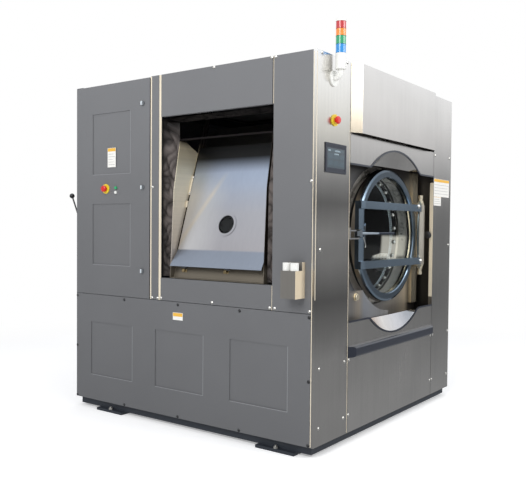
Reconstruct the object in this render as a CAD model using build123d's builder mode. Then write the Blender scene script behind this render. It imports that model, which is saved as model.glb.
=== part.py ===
from build123d import *
import os
from math import atan2, cos, degrees, radians, sin, sqrt

# Barrier washer. Millimetres, +Z up, standing on Z = 0. The painted loading side faces -Y, the
# stainless side with the round door faces +X, and the drum turns about an axis along X.
os.makedirs("parts", exist_ok=True)

# Overall sizes of the casing
cabinet_width = 1826.0
cabinet_depth = 1786.0
panel_height = 2000.0
floor_gap = 60.0

# Sheet metal and general clearances
sheet = 2.5
fold = 25.0
seat_gap = 0.5
slip_gap = 0.3
running_gap = 0.05
overrun = 20.0

# How far the outermost fittings stand out on each side of the casing
side_lever_reach = 96.5
side_lever_ball = 16.5
dosing_depth = 87.0
tower_standoff = 40.0
tower_radius = 27.0
pipe_reach = 80.0
left_reach = side_lever_reach + side_lever_ball
right_reach = tower_standoff + tower_radius

# The origin is under the middle of everything that stands out
x_left = (left_reach - right_reach - cabinet_width) / 2
x_right = x_left + cabinet_width
y_front = (dosing_depth - pipe_reach - cabinet_depth) / 2
y_back = y_front + cabinet_depth
z_base = floor_gap

# Planes of the casing: on each, the first value runs across the face and the second up it
front = Plane(origin=(x_left, y_front, z_base), x_dir=(1, 0, 0), z_dir=(0, -1, 0))
side = Plane(origin=(x_right, y_front, z_base), x_dir=(0, 1, 0), z_dir=(1, 0, 0))
left_side = Plane(origin=(x_left, y_back, z_base), x_dir=(0, -1, 0), z_dir=(-1, 0, 0))
rear = Plane(origin=(x_right, y_back, z_base), x_dir=(-1, 0, 0), z_dir=(0, 1, 0))
plan = Plane(origin=(x_left, y_front, z_base), x_dir=(1, 0, 0), z_dir=(0, 0, 1))

# Loading side: places across it from the left edge, heights from the panels' lower edge. The casing's
# far edges carry what is built next to them.
seam_up = 678.0
seam_gap = 3.0
cabinet_door_width = 663.0
strip_left = 672.0
strip_right = 739.0
opening_left = 758.0
opening_margin = 266.0
opening_right = cabinet_width - opening_margin
opening_low = 811.0
top_panel_height = 245.0
opening_high = panel_height - top_panel_height
column_gap = 5.0
column_left = opening_right + column_gap
column_return = 22.0
column_right = cabinet_width - column_return
field_depth = 4.0

# Stainless side: places across it from the near edge
near_column_width = 342.0
far_column_width = 303.0
far_column_start = cabinet_depth - far_column_width
joint_gap = 4.0
screen_near = 85.0
screen_far = 295.0
screen_drop = 603.0
screen_low = panel_height - screen_drop
screen_height = 152.0
screen_high = screen_low + screen_height
screen_body_near = 102.0
screen_body_far = 264.0
screen_body_inset = 17.0
screen_body_depth = 48.0
panel_near = near_column_width + joint_gap
panel_far = far_column_start - joint_gap
wave_blend = 80.0
trim_width = 10.0
trim_proud = 4.0
scoop_depth = 38.0
hood_out = 36.0
hood_bevel = 68.0
hood_foot_gap = 5.0

# Round door: it fills the wave opening between the columns, and its axis is also the drum's
door_offset = 9.5
door_across = (panel_near + panel_far) / 2 + door_offset
door_rise = 70.0
door_up = panel_height / 2 + door_rise
arch_margin = 29.5
arch_radius = (panel_far - panel_near) / 2 - arch_margin
arch_drop = 36.0
arch_up = door_up - arch_drop
scoop_height = 95.0
scoop_rise = arch_radius - scoop_height
arch_to_door = 135.0
door_radius = arch_radius - arch_to_door
door_ring_width = 53.0
door_glass_radius = door_radius - door_ring_width
door_recess = 46.0
door_thickness = 44.0
band_below = 58.0
band_low = door_up - door_radius - band_below
band_lap = 17.0
band_high = door_up + door_radius - band_lap
hood_rise = 56.0
hood_low = arch_up + arch_radius + hood_rise
bumper_drop = 86.0
bumper_low = arch_up - arch_radius - bumper_drop
pocket_depth = 130.0
pocket_margin = 286.0
pocket_right = cabinet_depth - pocket_margin
pocket_below = 188.0
pocket_low = door_up - door_radius - pocket_below
pocket_above = 118.0
pocket_high = door_up + door_radius + pocket_above
surround_clearance = 18.0
surround_hole = door_radius + surround_clearance
arm_height = 44.0
arm_depth = 40.0
upper_arm_rise = 175.0
upper_arm_up = door_up + upper_arm_rise
lower_arm_drop = 164.0
lower_arm_up = door_up - lower_arm_drop
arm_overhang = 30.0
arm_start = door_across - door_radius - arm_overhang
hinge_offset = 13.0
hinge_across = door_across + door_radius + hinge_offset
hinge_recess = 26.0
hinge_tube_radius = 25.5
hinge_rod_radius = 12.0

# Tub, as large as the casing's depth and height leave room for, and drum
tub_room_across = 316.0
tub_room_up = 530.0
tub_radius = min(cabinet_depth - tub_room_across, panel_height - tub_room_up) / 2
tub_wall = 5.0
tub_start = 620.0
tub_end_room = 158.0
tub_end = cabinet_width - tub_end_room
neck_step = 42.0
neck_radius = door_radius - neck_step
neck_wall = 6.0
neck_length = 58.0
neck_end = tub_end + neck_length
drum_clearance = 85.0
drum_radius = tub_radius - drum_clearance
drum_wall = 4.0
drum_back_room = 45.0
drum_start = tub_start + drum_back_room
drum_front_room = 28.0
drum_end = tub_end - drum_front_room
mouth_step = 15.0
drum_mouth = neck_radius - mouth_step
shaft_radius = 55.0
drum_pulley_radius = 340.0
pulley_start = 150.0
pulley_width = 80.0
motor_offset = 362.0
motor_across = door_across - motor_offset
motor_up = 330.0
motor_pulley_radius = 90.0

# Tilted tub door on the loading side
tilt = 17.5
tub_door_low = 980.0
tub_door_back = 60.0
chute_left_gap = 72.0
chute_left = opening_left + chute_left_gap
chute_right_gap = 61.0
chute_right = opening_right - chute_right_gap
chute_wall = 4.0
tub_door_gap = 12.0
tub_door_left = chute_left + tub_door_gap
tub_door_right = chute_right - tub_door_gap
tub_door_share = 0.678
tub_door_length = tub_door_share * (opening_high - opening_low)
tub_door_thick = 12.0

drum_origin = (x_left, y_front + door_across, z_base + door_up)
drum_axis = Axis(drum_origin, (1, 0, 0))
# Section plane through the drum's axis: place along the casing's width, then radius
axis_section = Plane(origin=drum_origin, x_dir=(1, 0, 0), z_dir=(0, -1, 0))
# Cross plane square to the drum's axis, at the casing's left edge
drum_cross = Plane(origin=drum_origin, x_dir=(0, 1, 0), z_dir=(1, 0, 0))
# Outer surface of the tilted tub door: across, then up the slope
slope = Plane(
    origin=(x_left, y_front + tub_door_back, z_base + tub_door_low),
    x_dir=(1, 0, 0),
    z_dir=(0, -cos(radians(tilt)), sin(radians(tilt))),
)


def block(face, left, right, low, high, start, end, mode=Mode.ADD):
    """Box on a face plane, between two distances along the plane's normal."""
    with BuildSketch(face.offset(start)) as outline:
        with Locations(((left + right) / 2, (low + high) / 2)):
            Rectangle(right - left, high - low)
    extrude(outline.sketch, amount=end - start, mode=mode)


def disc(face, across, up, radius, start, end, mode=Mode.ADD):
    """Cylinder on a face plane, between two distances along the plane's normal."""
    with BuildSketch(face.offset(start)) as outline:
        with Locations((across, up)):
            Circle(radius)
    extrude(outline.sketch, amount=end - start, mode=mode)


def hex_nut(face, across, up, radius, start, end):
    """Hexagonal nut on a face plane, between two distances along the plane's normal."""
    with BuildSketch(face.offset(start)) as outline:
        with Locations((across, up)):
            RegularPolygon(radius, 6)
    extrude(outline.sketch, amount=end - start)


def turned(section, axis, points, mode=Mode.ADD):
    """Ring turned about an axis from a closed profile of straight lines."""
    with BuildSketch(section) as profile:
        with BuildLine():
            Polyline(*points, close=True)
        make_face()
    revolve(profile.sketch, axis=axis, mode=mode)


def tray(face, left, right, low, high, depth=fold):
    """Sheet panel whose four edges are folded back."""
    block(face, left, right, low, high, 0, -depth)
    block(face, left + sheet, right - sheet, low + sheet, high - sheet, -sheet, -depth, Mode.SUBTRACT)


def pressed_field(face, left, right, low, high):
    """Shallow rectangular field pressed into a sheet panel, with its wall carried behind."""
    block(face, left - sheet, right + sheet, low - sheet, high + sheet, -sheet, -field_depth - sheet)
    block(face, left, right, low, high, 0, -field_depth, Mode.SUBTRACT)


def save(builder, name):
    """Label a finished piece and write its file."""
    builder.part.label = name
    export_step(builder.part, f"parts/{name}.step")


# Welded base frame: a ring of beams, cross beams under the tub and the motor, and foot plates
beam = 60.0
foot_thick = 16.0
foot_reach = 5.0
foot_depth = 230.0
near_foot = (203.0, 430.0)
far_foot_insets = (360.0, 113.0)
foot_spans = (near_foot, (cabinet_width - far_foot_insets[0], cabinet_width - far_foot_insets[1]))
anchor_radius = 7.0
anchor_inset = 11.0
beam_low = foot_thick - floor_gap
beam_high = 36.0
frame_inset = fold + seat_gap
spring_insets = (140.0, 128.0)
spring_places = (tub_start + spring_insets[0], tub_end - spring_insets[1])
motor_beams = (310.0, 510.0)
anchor_places = ((foot_spans[0][0] + foot_spans[0][1]) / 2, (foot_spans[1][0] + foot_spans[1][1]) / 2)
with BuildPart() as base_frame:
    block(plan, frame_inset, cabinet_width - frame_inset, frame_inset, cabinet_depth - frame_inset,
          beam_low, beam_high)
    block(plan, frame_inset + beam, cabinet_width - frame_inset - beam, frame_inset + beam,
          cabinet_depth - frame_inset - beam, beam_low, beam_high, Mode.SUBTRACT)
    for place in spring_places + motor_beams:
        block(plan, place - beam / 2, place + beam / 2, frame_inset, cabinet_depth - frame_inset,
              beam_low, beam_high)
    for foot_left, foot_right in foot_spans:
        block(plan, foot_left, foot_right, -foot_reach, foot_depth, -floor_gap, beam_low)
        block(plan, foot_left, foot_right, cabinet_depth - foot_depth, cabinet_depth + foot_reach,
              -floor_gap, beam_low)
    for place in anchor_places:
        for back in (anchor_inset, cabinet_depth - anchor_inset):
            disc(plan, place, back, anchor_radius, -floor_gap - overrun, beam_low, Mode.SUBTRACT)
save(base_frame, "base_frame")

# Upper frame: corner posts, posts beside both openings, the top ring and the rail at the seam
post_high = panel_height - frame_inset
front_post_offsets = (74.0, 30.0)
front_posts = (opening_left - front_post_offsets[0], opening_right + front_post_offsets[1])
side_post_offsets = (63.0, 20.0)
side_posts = (near_column_width - side_post_offsets[0], far_column_start + side_post_offsets[1])
seam_rail_high = 700.0
cabinet_door_low = seam_up + seam_gap / 2
cabinet_door_high = panel_height - joint_gap
cabinet_hinge_inset = 8.0
hinge_pin_radius = 4.0
hinge_pin_engage = 2.0
hinge_lug_length = 60.0
hinge_leg_thick = 2.4
hinge_leg_drop = 36.0
with BuildPart() as upper_frame:
    for near in (frame_inset, cabinet_depth - frame_inset - beam):
        for across in (frame_inset, cabinet_width - frame_inset - beam):
            block(plan, across, across + beam, near, near + beam, beam_high, post_high)
    for across in front_posts:
        block(plan, across, across + beam, frame_inset, frame_inset + beam, beam_high, post_high)
    for near in side_posts:
        block(plan, cabinet_width - frame_inset - beam, cabinet_width - frame_inset, near, near + beam,
              beam_high, post_high)
    block(side, screen_body_near - seat_gap, screen_body_far + seat_gap,
          screen_low + screen_body_inset - seat_gap, screen_high - screen_body_inset + seat_gap,
          -frame_inset + overrun, -screen_body_depth - seat_gap, Mode.SUBTRACT)
    block(plan, frame_inset, cabinet_width - frame_inset, frame_inset, cabinet_depth - frame_inset,
          post_high - beam, post_high)
    block(plan, frame_inset + beam, cabinet_width - frame_inset - beam, frame_inset + beam,
          cabinet_depth - frame_inset - beam, post_high - beam, post_high, Mode.SUBTRACT)
    block(plan, frame_inset, cabinet_width - frame_inset, frame_inset, frame_inset + beam,
          seam_rail_high - beam, seam_rail_high)
    for lug_edge, lug_away in ((cabinet_door_low, -1), (cabinet_door_high, 1)):
        lug_start = lug_edge + lug_away * slip_gap
        lug_end = lug_start + lug_away * sheet
        block(plan, 0, hinge_lug_length, 0, frame_inset, lug_start, lug_end)
        disc(plan, cabinet_hinge_inset, cabinet_hinge_inset, hinge_pin_radius, lug_end,
             lug_edge - lug_away * (sheet + hinge_pin_engage))
    block(plan, 0, hinge_lug_length, frame_inset - hinge_leg_thick, frame_inset,
          cabinet_door_high - hinge_leg_drop, lug_end)
save(upper_frame, "upper_frame")

# Painted panels of the loading side
upper_low = cabinet_door_low
with BuildPart() as front_top_panel:
    tray(front, opening_left, opening_right - joint_gap, opening_high, panel_height)
save(front_top_panel, "front_top_panel")

with BuildPart() as front_sill_panel:
    tray(front, opening_left, opening_right, upper_low, opening_low)
save(front_sill_panel, "front_sill_panel")

with BuildPart() as front_column_strip:
    tray(front, strip_left, strip_right, upper_low, panel_height)
save(front_column_strip, "front_column_strip")

with BuildPart() as front_right_column:
    tray(front, column_left, column_right, upper_low, panel_height)
save(front_right_column, "front_right_column")

lower_field_shares = ((0.0778, 0.2837), (0.391, 0.597), (0.7032, 0.9118))
lower_field_low = 163.0
lower_field_high = 501.0
with BuildPart() as front_lower_panel:
    tray(front, 0, column_right, 0, seam_up - seam_gap / 2)
    for left_share, right_share in lower_field_shares:
        pressed_field(front, left_share * cabinet_width, right_share * cabinet_width, lower_field_low,
                      lower_field_high)
save(front_lower_panel, "front_lower_panel")

# Cabinet door: a shallower tray hung on a hidden pivot inside its left edge
door_fold = 20.0
door_field_left = 155.0
door_field_right = 497.0
lower_field_bottom = 870.0
door_field_drops = (748.0, 562.0, 182.0)
field_levels = tuple(panel_height - drop for drop in door_field_drops)
door_fields = ((lower_field_bottom, field_levels[0]), (field_levels[1], field_levels[2]))
latch_across = 605.0
low_latch_up = 844.0
latch_drops = (653.0, 151.0)
latch_heights = (low_latch_up, panel_height - latch_drops[0], panel_height - latch_drops[1])
latch_shaft_radius = 8.0
stop_across = 282.0
stop_drop = 1.0
stop_up = latch_heights[1] - stop_drop
button_across = 374.0
start_button_rise = 4.0
start_button_up = stop_up + start_button_rise
stop_button_drop = 24.0
stop_button_up = stop_up - stop_button_drop
button_radius = 9.0
stop_shaft_radius = 11.0
with BuildPart() as cabinet_door:
    tray(front, 0, cabinet_door_width, cabinet_door_low, cabinet_door_high, door_fold)
    for field_low, field_high in door_fields:
        pressed_field(front, door_field_left, door_field_right, field_low, field_high)
    for up in latch_heights:
        disc(front, latch_across, up, latch_shaft_radius + slip_gap, overrun, -overrun, Mode.SUBTRACT)
    disc(front, stop_across, stop_up, stop_shaft_radius + slip_gap, overrun, -overrun, Mode.SUBTRACT)
    for up in (start_button_up, stop_button_up):
        disc(front, button_across, up, button_radius + slip_gap, overrun, -overrun, Mode.SUBTRACT)
    for low, high in ((cabinet_door_low, cabinet_door_low + sheet),
                      (cabinet_door_high - sheet, cabinet_door_high)):
        disc(plan, cabinet_hinge_inset, cabinet_hinge_inset, hinge_pin_radius + running_gap, low, high,
             Mode.SUBTRACT)
save(cabinet_door, "cabinet_door")

# Latch: a winged knob outside, its shaft and the cam behind the sheet
latch_head_radius = 15.0
latch_head_proud = 5.0
wing_length = 22.0
wing_width = 7.0
wing_proud = 16.0
cam_width = 16.0
cam_length = 50.0
cam_thick = 4.0
cam_back = 15.0
for latch_up, latch_name in zip(latch_heights, ("low", "middle", "high")):
    with BuildPart() as cabinet_latch:
        disc(front, latch_across, latch_up, latch_head_radius, seat_gap, latch_head_proud)
        block(front, latch_across - wing_width / 2, latch_across + wing_width / 2,
              latch_up - wing_length / 2, latch_up + wing_length / 2, latch_head_proud, wing_proud)
        disc(front, latch_across, latch_up, latch_shaft_radius, seat_gap, -cam_back)
        block(front, latch_across - cam_width / 2, latch_across + cam_length, latch_up - cam_width / 2,
              latch_up + cam_width / 2, cam_thick - cam_back, -cam_back)
    save(cabinet_latch, f"cabinet_latch_{latch_name}")

# Electrical box behind the door, with its mounting plate, contactors and drive
box_left = frame_inset + beam + seat_gap
box_right = 612.0
box_low = 706.0
box_headroom = 92.0
box_high = panel_height - box_headroom
box_back = 230.0
gear_shares = (
    (0.08, 0.92, 0.84, 0.93, 0.26),
    (0.08, 0.60, 0.62, 0.74, 0.35),
    (0.68, 0.92, 0.52, 0.76, 0.52),
    (0.08, 0.60, 0.42, 0.52, 0.30),
    (0.08, 0.40, 0.12, 0.34, 0.57),
    (0.48, 0.92, 0.10, 0.18, 0.22),
)
with BuildPart() as electrical_box:
    block(front, box_left, box_right, box_low, box_high, -frame_inset, -box_back)
    block(front, box_left + sheet, box_right - sheet, box_low + sheet, box_high - sheet, -frame_inset,
          sheet - box_back, Mode.SUBTRACT)
    for left_share, right_share, low_share, high_share, depth_share in gear_shares:
        block(front, box_left + left_share * (box_right - box_left),
              box_left + right_share * (box_right - box_left),
              box_low + low_share * (box_high - box_low), box_low + high_share * (box_high - box_low),
              sheet - box_back, sheet + depth_share * box_back - box_back)
save(electrical_box, "electrical_box")

# Emergency stops: a yellow ring on the panel and a mushroom head on a shaft
stop_ring_radius = 30.0
stop_ring_thick = 6.0
stop_head_radius = 20.0
stop_head_low = 17.0
stop_head_high = 30.0
stop_head_chamfer = 5.0
stop_shaft_back = 34.0
side_stop_across = 176.0
side_stop_drop = 331.0
side_stop_up = panel_height - side_stop_drop


def stop_ring(face, across, up):
    """Yellow ring round an emergency stop."""
    disc(face, across, up, stop_ring_radius, 0, stop_ring_thick)
    disc(face, across, up, stop_shaft_radius + slip_gap, -overrun, stop_ring_thick + overrun,
         Mode.SUBTRACT)


def stop_button(face, across, up):
    """Mushroom head on its shaft."""
    disc(face, across, up, stop_shaft_radius, -stop_shaft_back, stop_head_low)
    disc(face, across, up, stop_head_radius, stop_head_low, stop_head_high)


with BuildPart() as front_stop_ring:
    stop_ring(front, stop_across, stop_up)
save(front_stop_ring, "front_stop_ring")

with BuildPart() as side_stop_ring:
    stop_ring(side, side_stop_across, side_stop_up)
save(side_stop_ring, "side_stop_ring")

with BuildPart() as front_stop_button:
    stop_button(front, stop_across, stop_up)
    chamfer(front_stop_button.edges().filter_by(GeomType.CIRCLE).sort_by(Axis.Y)[0], stop_head_chamfer)
save(front_stop_button, "front_stop_button")

with BuildPart() as side_stop_button:
    stop_button(side, side_stop_across, side_stop_up)
    chamfer(side_stop_button.edges().filter_by(GeomType.CIRCLE).sort_by(Axis.X)[-1], stop_head_chamfer)
save(side_stop_button, "side_stop_button")

# Start and stop buttons on the cabinet door: a flat cap on a short plunger with its collar behind
button_proud = 9.0
button_back = 18.0
button_collar = 7.5
for button_up, button_name in ((start_button_up, "start_button"), (stop_button_up, "stop_button")):
    with BuildPart() as push_button:
        disc(front, button_across, button_up, button_radius, button_proud, -button_back)
        disc(front, button_across, button_up, button_radius + sheet, -button_collar, -button_back)
    save(push_button, button_name)

# Stainless columns of the round door's side, the near one cut out for the touch screen's body
front_return = cabinet_width - column_right - seat_gap - seat_gap
with BuildPart() as near_column_panel:
    tray(side, 0, near_column_width, 0, panel_height)
    block(side, -overrun, frame_inset, -overrun, panel_height + overrun, -front_return, -fold - overrun,
          Mode.SUBTRACT)
    disc(side, side_stop_across, side_stop_up, stop_shaft_radius + slip_gap, overrun, -overrun,
         Mode.SUBTRACT)
    block(side, screen_body_near - seat_gap, screen_body_far + seat_gap,
          screen_low + screen_body_inset - seat_gap, screen_high - screen_body_inset + seat_gap,
          overrun, -overrun, Mode.SUBTRACT)
save(near_column_panel, "near_column_panel")

with BuildPart() as far_column_panel:
    tray(side, far_column_start, cabinet_depth, 0, panel_height)
save(far_column_panel, "far_column_panel")

# Wave opening between the columns: a level band with a round bulge above and below
panel_middle = (panel_near + panel_far) / 2
wave_reach = 40.0
band_middle = (band_low + band_high) / 2


def wave_outline(face, margin):
    """Outline of the wave opening, grown by a margin."""
    with BuildSketch(face) as outline:
        with Locations((panel_middle, band_middle)):
            Rectangle(panel_far - panel_near + 2 * wave_reach, band_high - band_low)
        with Locations((door_across, arch_up)):
            Circle(arch_radius)
        fillet(outline.vertices().sort_by_distance((door_across, arch_up))[:4], wave_blend)
        if margin > 0:
            offset(amount=margin)
    return outline.sketch


def scoop(direction):
    """Thin lip from the bulge's arc on the face to a level chord deeper in the recess."""
    chord = arch_up + direction * scoop_rise
    half_chord = sqrt(arch_radius**2 - scoop_rise**2)
    for grow, mode in ((sheet, Mode.ADD), (0, Mode.SUBTRACT)):
        with BuildSketch(side.offset(-sheet)) as mouth:
            with BuildLine():
                ThreePointArc(
                    (door_across - half_chord - grow, chord),
                    (door_across, arch_up + direction * (arch_radius + grow)),
                    (door_across + half_chord + grow, chord),
                )
                Line((door_across + half_chord + grow, chord), (door_across - half_chord - grow, chord))
            make_face()
        with BuildSketch(side.offset(-scoop_depth)) as root:
            with BuildLine():
                ThreePointArc(
                    (door_across - half_chord - grow, chord),
                    (door_across, chord + direction * (sheet + grow)),
                    (door_across + half_chord + grow, chord),
                )
                Line((door_across + half_chord + grow, chord), (door_across - half_chord - grow, chord))
            make_face()
        loft([mouth.sketch.face(), root.sketch.face()], ruled=True, mode=mode)


def wave_panel(low, high, direction):
    """Stainless panel with a wave edge, its other edges folded back, and its scooped lip."""
    block(side, panel_near, panel_far, low, high, 0, -fold)
    hollow_low = low - overrun if direction > 0 else low + sheet
    hollow_high = high - sheet if direction > 0 else high + overrun
    block(side, panel_near + sheet, panel_far - sheet, hollow_low, hollow_high, -sheet, -fold, Mode.SUBTRACT)
    extrude(wave_outline(side, trim_width + slip_gap), amount=-fold, mode=Mode.SUBTRACT)
    with BuildSketch(side.offset(-sheet)) as flange:
        with Locations((door_across, arch_up)):
            Circle(arch_radius + 2 * trim_width)
            Circle(arch_radius, mode=Mode.SUBTRACT)
        with Locations((door_across, arch_up - direction * (cabinet_depth - scoop_rise))):
            Rectangle(2 * cabinet_depth, 2 * cabinet_depth, mode=Mode.SUBTRACT)
    extrude(flange.sketch, amount=-sheet)
    scoop(direction)


with BuildPart() as upper_wave_panel:
    wave_panel(band_high - overrun, hood_low - joint_gap, 1)
save(upper_wave_panel, "upper_wave_panel")

with BuildPart() as lower_wave_panel:
    wave_panel(0, band_low + overrun, -1)
save(lower_wave_panel, "lower_wave_panel")

# Dark edge trims along both wave edges
with BuildPart() as wave_trims:
    extrude(wave_outline(side.offset(-sheet), trim_width), amount=sheet + trim_proud)
    extrude(wave_outline(side.offset(-sheet), 0), amount=sheet + trim_proud, mode=Mode.SUBTRACT)
    for end_near, end_far in ((panel_near - 2 * wave_reach, panel_near),
                              (panel_far, panel_far + 2 * wave_reach)):
        block(side, end_near, end_far, 0, panel_height, -overrun, overrun, Mode.SUBTRACT)
save(wave_trims, "wave_trims")

# Hood: a bevelled cover over the wave panel, open underneath
hood_near = near_column_width + hood_foot_gap
hood_far = far_column_start - hood_foot_gap
with BuildPart() as hood:
    for inset, low, high, mode in ((0, hood_low, panel_height, Mode.ADD),
                                   (sheet, hood_low - overrun, panel_height - sheet, Mode.SUBTRACT)):
        foot = fold + inset * overrun
        with BuildSketch(plan.offset(low)) as profile:
            with BuildLine():
                Polyline(
                    (cabinet_width - foot, hood_near + inset),
                    (cabinet_width, hood_near + inset),
                    (cabinet_width + hood_out - inset, hood_near + hood_bevel + inset / 2),
                    (cabinet_width + hood_out - inset, hood_far - hood_bevel - inset / 2),
                    (cabinet_width, hood_far - inset),
                    (cabinet_width - foot, hood_far - inset),
                    close=True,
                )
            make_face()
        extrude(profile.sketch, amount=high - low, mode=mode)
save(hood, "hood")

# Bumper rail with tapered ends and rounded long edges
bumper_height = 59.0
bumper_high = bumper_low + bumper_height
bumper_out = 30.0
bumper_taper = 40.0
bumper_round = 14.0
with BuildPart() as bumper_rail:
    with BuildSketch(plan.offset(bumper_low)) as profile:
        with BuildLine():
            Polyline(
                (cabinet_width, panel_near),
                (cabinet_width + bumper_out, panel_near + bumper_taper),
                (cabinet_width + bumper_out, panel_far - bumper_taper),
                (cabinet_width, panel_far),
                close=True,
            )
        make_face()
    extrude(profile.sketch, amount=bumper_high - bumper_low)
    fillet(bumper_rail.edges().filter_by(Axis.Y).sort_by(Axis.X)[-2:], bumper_round)
save(bumper_rail, "bumper_rail")

# Surround of the round door: a deep tray with the door's hole in its back, and a corner plate cut round
# the door
corner_plate_drop = 310.0
corner_plate_high = door_up - corner_plate_drop
corner_plate_clearance = 50.0
with BuildPart() as door_surround:
    block(side, near_column_width - sheet, pocket_right + sheet, pocket_low - sheet, pocket_high + sheet,
          -pocket_depth - sheet, -fold - seat_gap)
    block(side, near_column_width, pocket_right, pocket_low, pocket_high, -pocket_depth, 0, Mode.SUBTRACT)
    block(side, near_column_width - sheet, door_across, pocket_low - sheet, corner_plate_high,
          -door_recess - sheet, -door_recess)
    disc(side, door_across, door_up, door_radius + corner_plate_clearance, -door_recess - overrun, 0,
         Mode.SUBTRACT)
    disc(side, door_across, door_up, surround_hole, -pocket_depth - overrun, 0, Mode.SUBTRACT)
save(door_surround, "door_surround")

# Closed sides of the casing: top, back and left
with BuildPart() as top_cover:
    tray(plan.offset(panel_height), frame_inset + seat_gap, cabinet_width - frame_inset - seat_gap,
         frame_inset + seat_gap, cabinet_depth - frame_inset - seat_gap, panel_height - post_high - slip_gap)
save(top_cover, "top_cover")

inlet_insets = (576.0, 426.0, 276.0)
inlet_places = tuple(cabinet_width - inset for inset in inlet_insets)
inlet_drop = 300.0
inlet_up = panel_height - inlet_drop
inlet_radius = 16.6
inlet_body_radius = 15.0
inlet_bore = 12.0
inlet_nut_radius = 30.0
inlet_back = 60.0
drain_across = 662.0
drain_up = 150.0
drain_spigot_radius = 55.0
drain_radius = 53.0
drain_bore = 49.0
gland_radius = 20.25
gland_inset = 176.0
gland_across = cabinet_width - gland_inset
gland_drop = 150.0
gland_up = panel_height - gland_drop
service_field_shares = ((0.137, 0.46), (0.542, 0.865))
service_field_low = 400.0
service_field_drop = 500.0
service_field_high = panel_height - service_field_drop
with BuildPart() as rear_panel:
    tray(rear, frame_inset, cabinet_width - frame_inset, 0, panel_height)
    for left_share, right_share in service_field_shares:
        pressed_field(rear, left_share * cabinet_width, right_share * cabinet_width, service_field_low,
                      service_field_high)
    for place in inlet_places:
        disc(rear, place, inlet_up, inlet_body_radius + slip_gap, overrun, -overrun, Mode.SUBTRACT)
    disc(rear, drain_across, drain_up, drain_radius + slip_gap, overrun, -overrun, Mode.SUBTRACT)
    disc(rear, gland_across, gland_up, gland_radius, overrun, -overrun, Mode.SUBTRACT)
save(rear_panel, "rear_panel")

# Left panel, with the two ears that carry the side lever
lever_back = 38.0
lever_drop = 860.0
lever_up = panel_height - lever_drop
lever_pivot_out = 12.0
lever_pin_radius = 6.0
ear_radius = 11.0
ear_thick = 5.0
ear_gap = 14.0
with BuildPart() as left_panel:
    tray(left_side, 0, cabinet_depth - frame_inset, 0, panel_height)
    for near in (lever_back - ear_gap / 2 - ear_thick, lever_back + ear_gap / 2):
        block(front, -lever_pivot_out, sheet, lever_up - ear_radius, lever_up + ear_radius,
              -near - ear_thick, -near)
        disc(front, -lever_pivot_out, lever_up, ear_radius, -near - ear_thick, -near)
        disc(front, -lever_pivot_out, lever_up, lever_pin_radius + running_gap, -near - overrun,
             -near + overrun, Mode.SUBTRACT)
save(left_panel, "left_panel")

# Side lever: a boss on its pin between the ears, the rod and the ball
lever_boss_radius = 9.0
lever_rod_radius = 5.0
lever_rise = 171.0
lever_run = side_lever_reach - lever_pivot_out
lever_length = sqrt(lever_rise**2 + lever_run**2)
lever_ball_start = lever_length - sqrt(side_lever_ball**2 - lever_rod_radius**2)
lever_plane = front.offset(-lever_back)
lever_pivot = (x_left - lever_pivot_out, y_front + lever_back, z_base + lever_up)
lever_direction = (-lever_run, 0, lever_rise)
with BuildPart() as side_lever:
    disc(lever_plane, -lever_pivot_out, lever_up, lever_boss_radius, slip_gap - ear_gap / 2,
         ear_gap / 2 - slip_gap)
    disc(lever_plane, -lever_pivot_out, lever_up, lever_pin_radius, -ear_gap / 2 - ear_thick,
         ear_gap / 2 + ear_thick)
    with BuildSketch(Plane(origin=lever_pivot, x_dir=lever_direction, z_dir=(0, -1, 0))) as lever_profile:
        with BuildLine():
            Polyline((0, 0), (0, lever_rod_radius), (lever_ball_start, lever_rod_radius))
            ThreePointArc(
                (lever_ball_start, lever_rod_radius),
                (lever_length, side_lever_ball),
                (lever_length + side_lever_ball, 0),
            )
            Line((lever_length + side_lever_ball, 0), (0, 0))
        make_face()
    revolve(lever_profile.sketch, axis=Axis(lever_pivot, lever_direction))
save(side_lever, "side_lever")

# Dosing box on the right column, with its mounting plate and two necks
dosing_inset = 149.0
dosing_left = cabinet_width - dosing_inset
dosing_width = 91.0
dosing_right = dosing_left + dosing_width
dosing_low = 757.0
dosing_high = 897.0
dosing_plate_high = 940.0
dosing_plate_depth = 25.0
dosing_wall = 3.0
cap_inset = 22.5
cap_places = (dosing_left + cap_inset, dosing_right - cap_inset)
cap_out = 62.0
cap_radius = 21.5
cap_height = 40.0
neck_radius_small = 17.0
neck_height = 30.0
with BuildPart() as dosing_box:
    block(front, dosing_left, dosing_right, dosing_low, dosing_high, 0, dosing_depth)
    block(front, dosing_left + dosing_wall, dosing_right - dosing_wall, dosing_low + dosing_wall,
          dosing_high - dosing_wall, dosing_wall, dosing_depth - dosing_wall, Mode.SUBTRACT)
    block(front, dosing_left, dosing_right, dosing_high, dosing_plate_high, 0, dosing_plate_depth)
    for place in cap_places:
        disc(plan, place, -cap_out, neck_radius_small, dosing_high - dosing_wall, dosing_high + neck_height)
        disc(plan, place, -cap_out, neck_radius_small - dosing_wall, dosing_high - overrun,
             dosing_high + neck_height + overrun, Mode.SUBTRACT)
save(dosing_box, "dosing_box")

with BuildPart() as dosing_caps:
    for place in cap_places:
        disc(plan, place, -cap_out, cap_radius, dosing_high + slip_gap, dosing_high + cap_height)
        disc(plan, place, -cap_out, neck_radius_small + slip_gap, dosing_high,
             dosing_high + neck_height + slip_gap, Mode.SUBTRACT)
save(dosing_caps, "dosing_caps")

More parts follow.
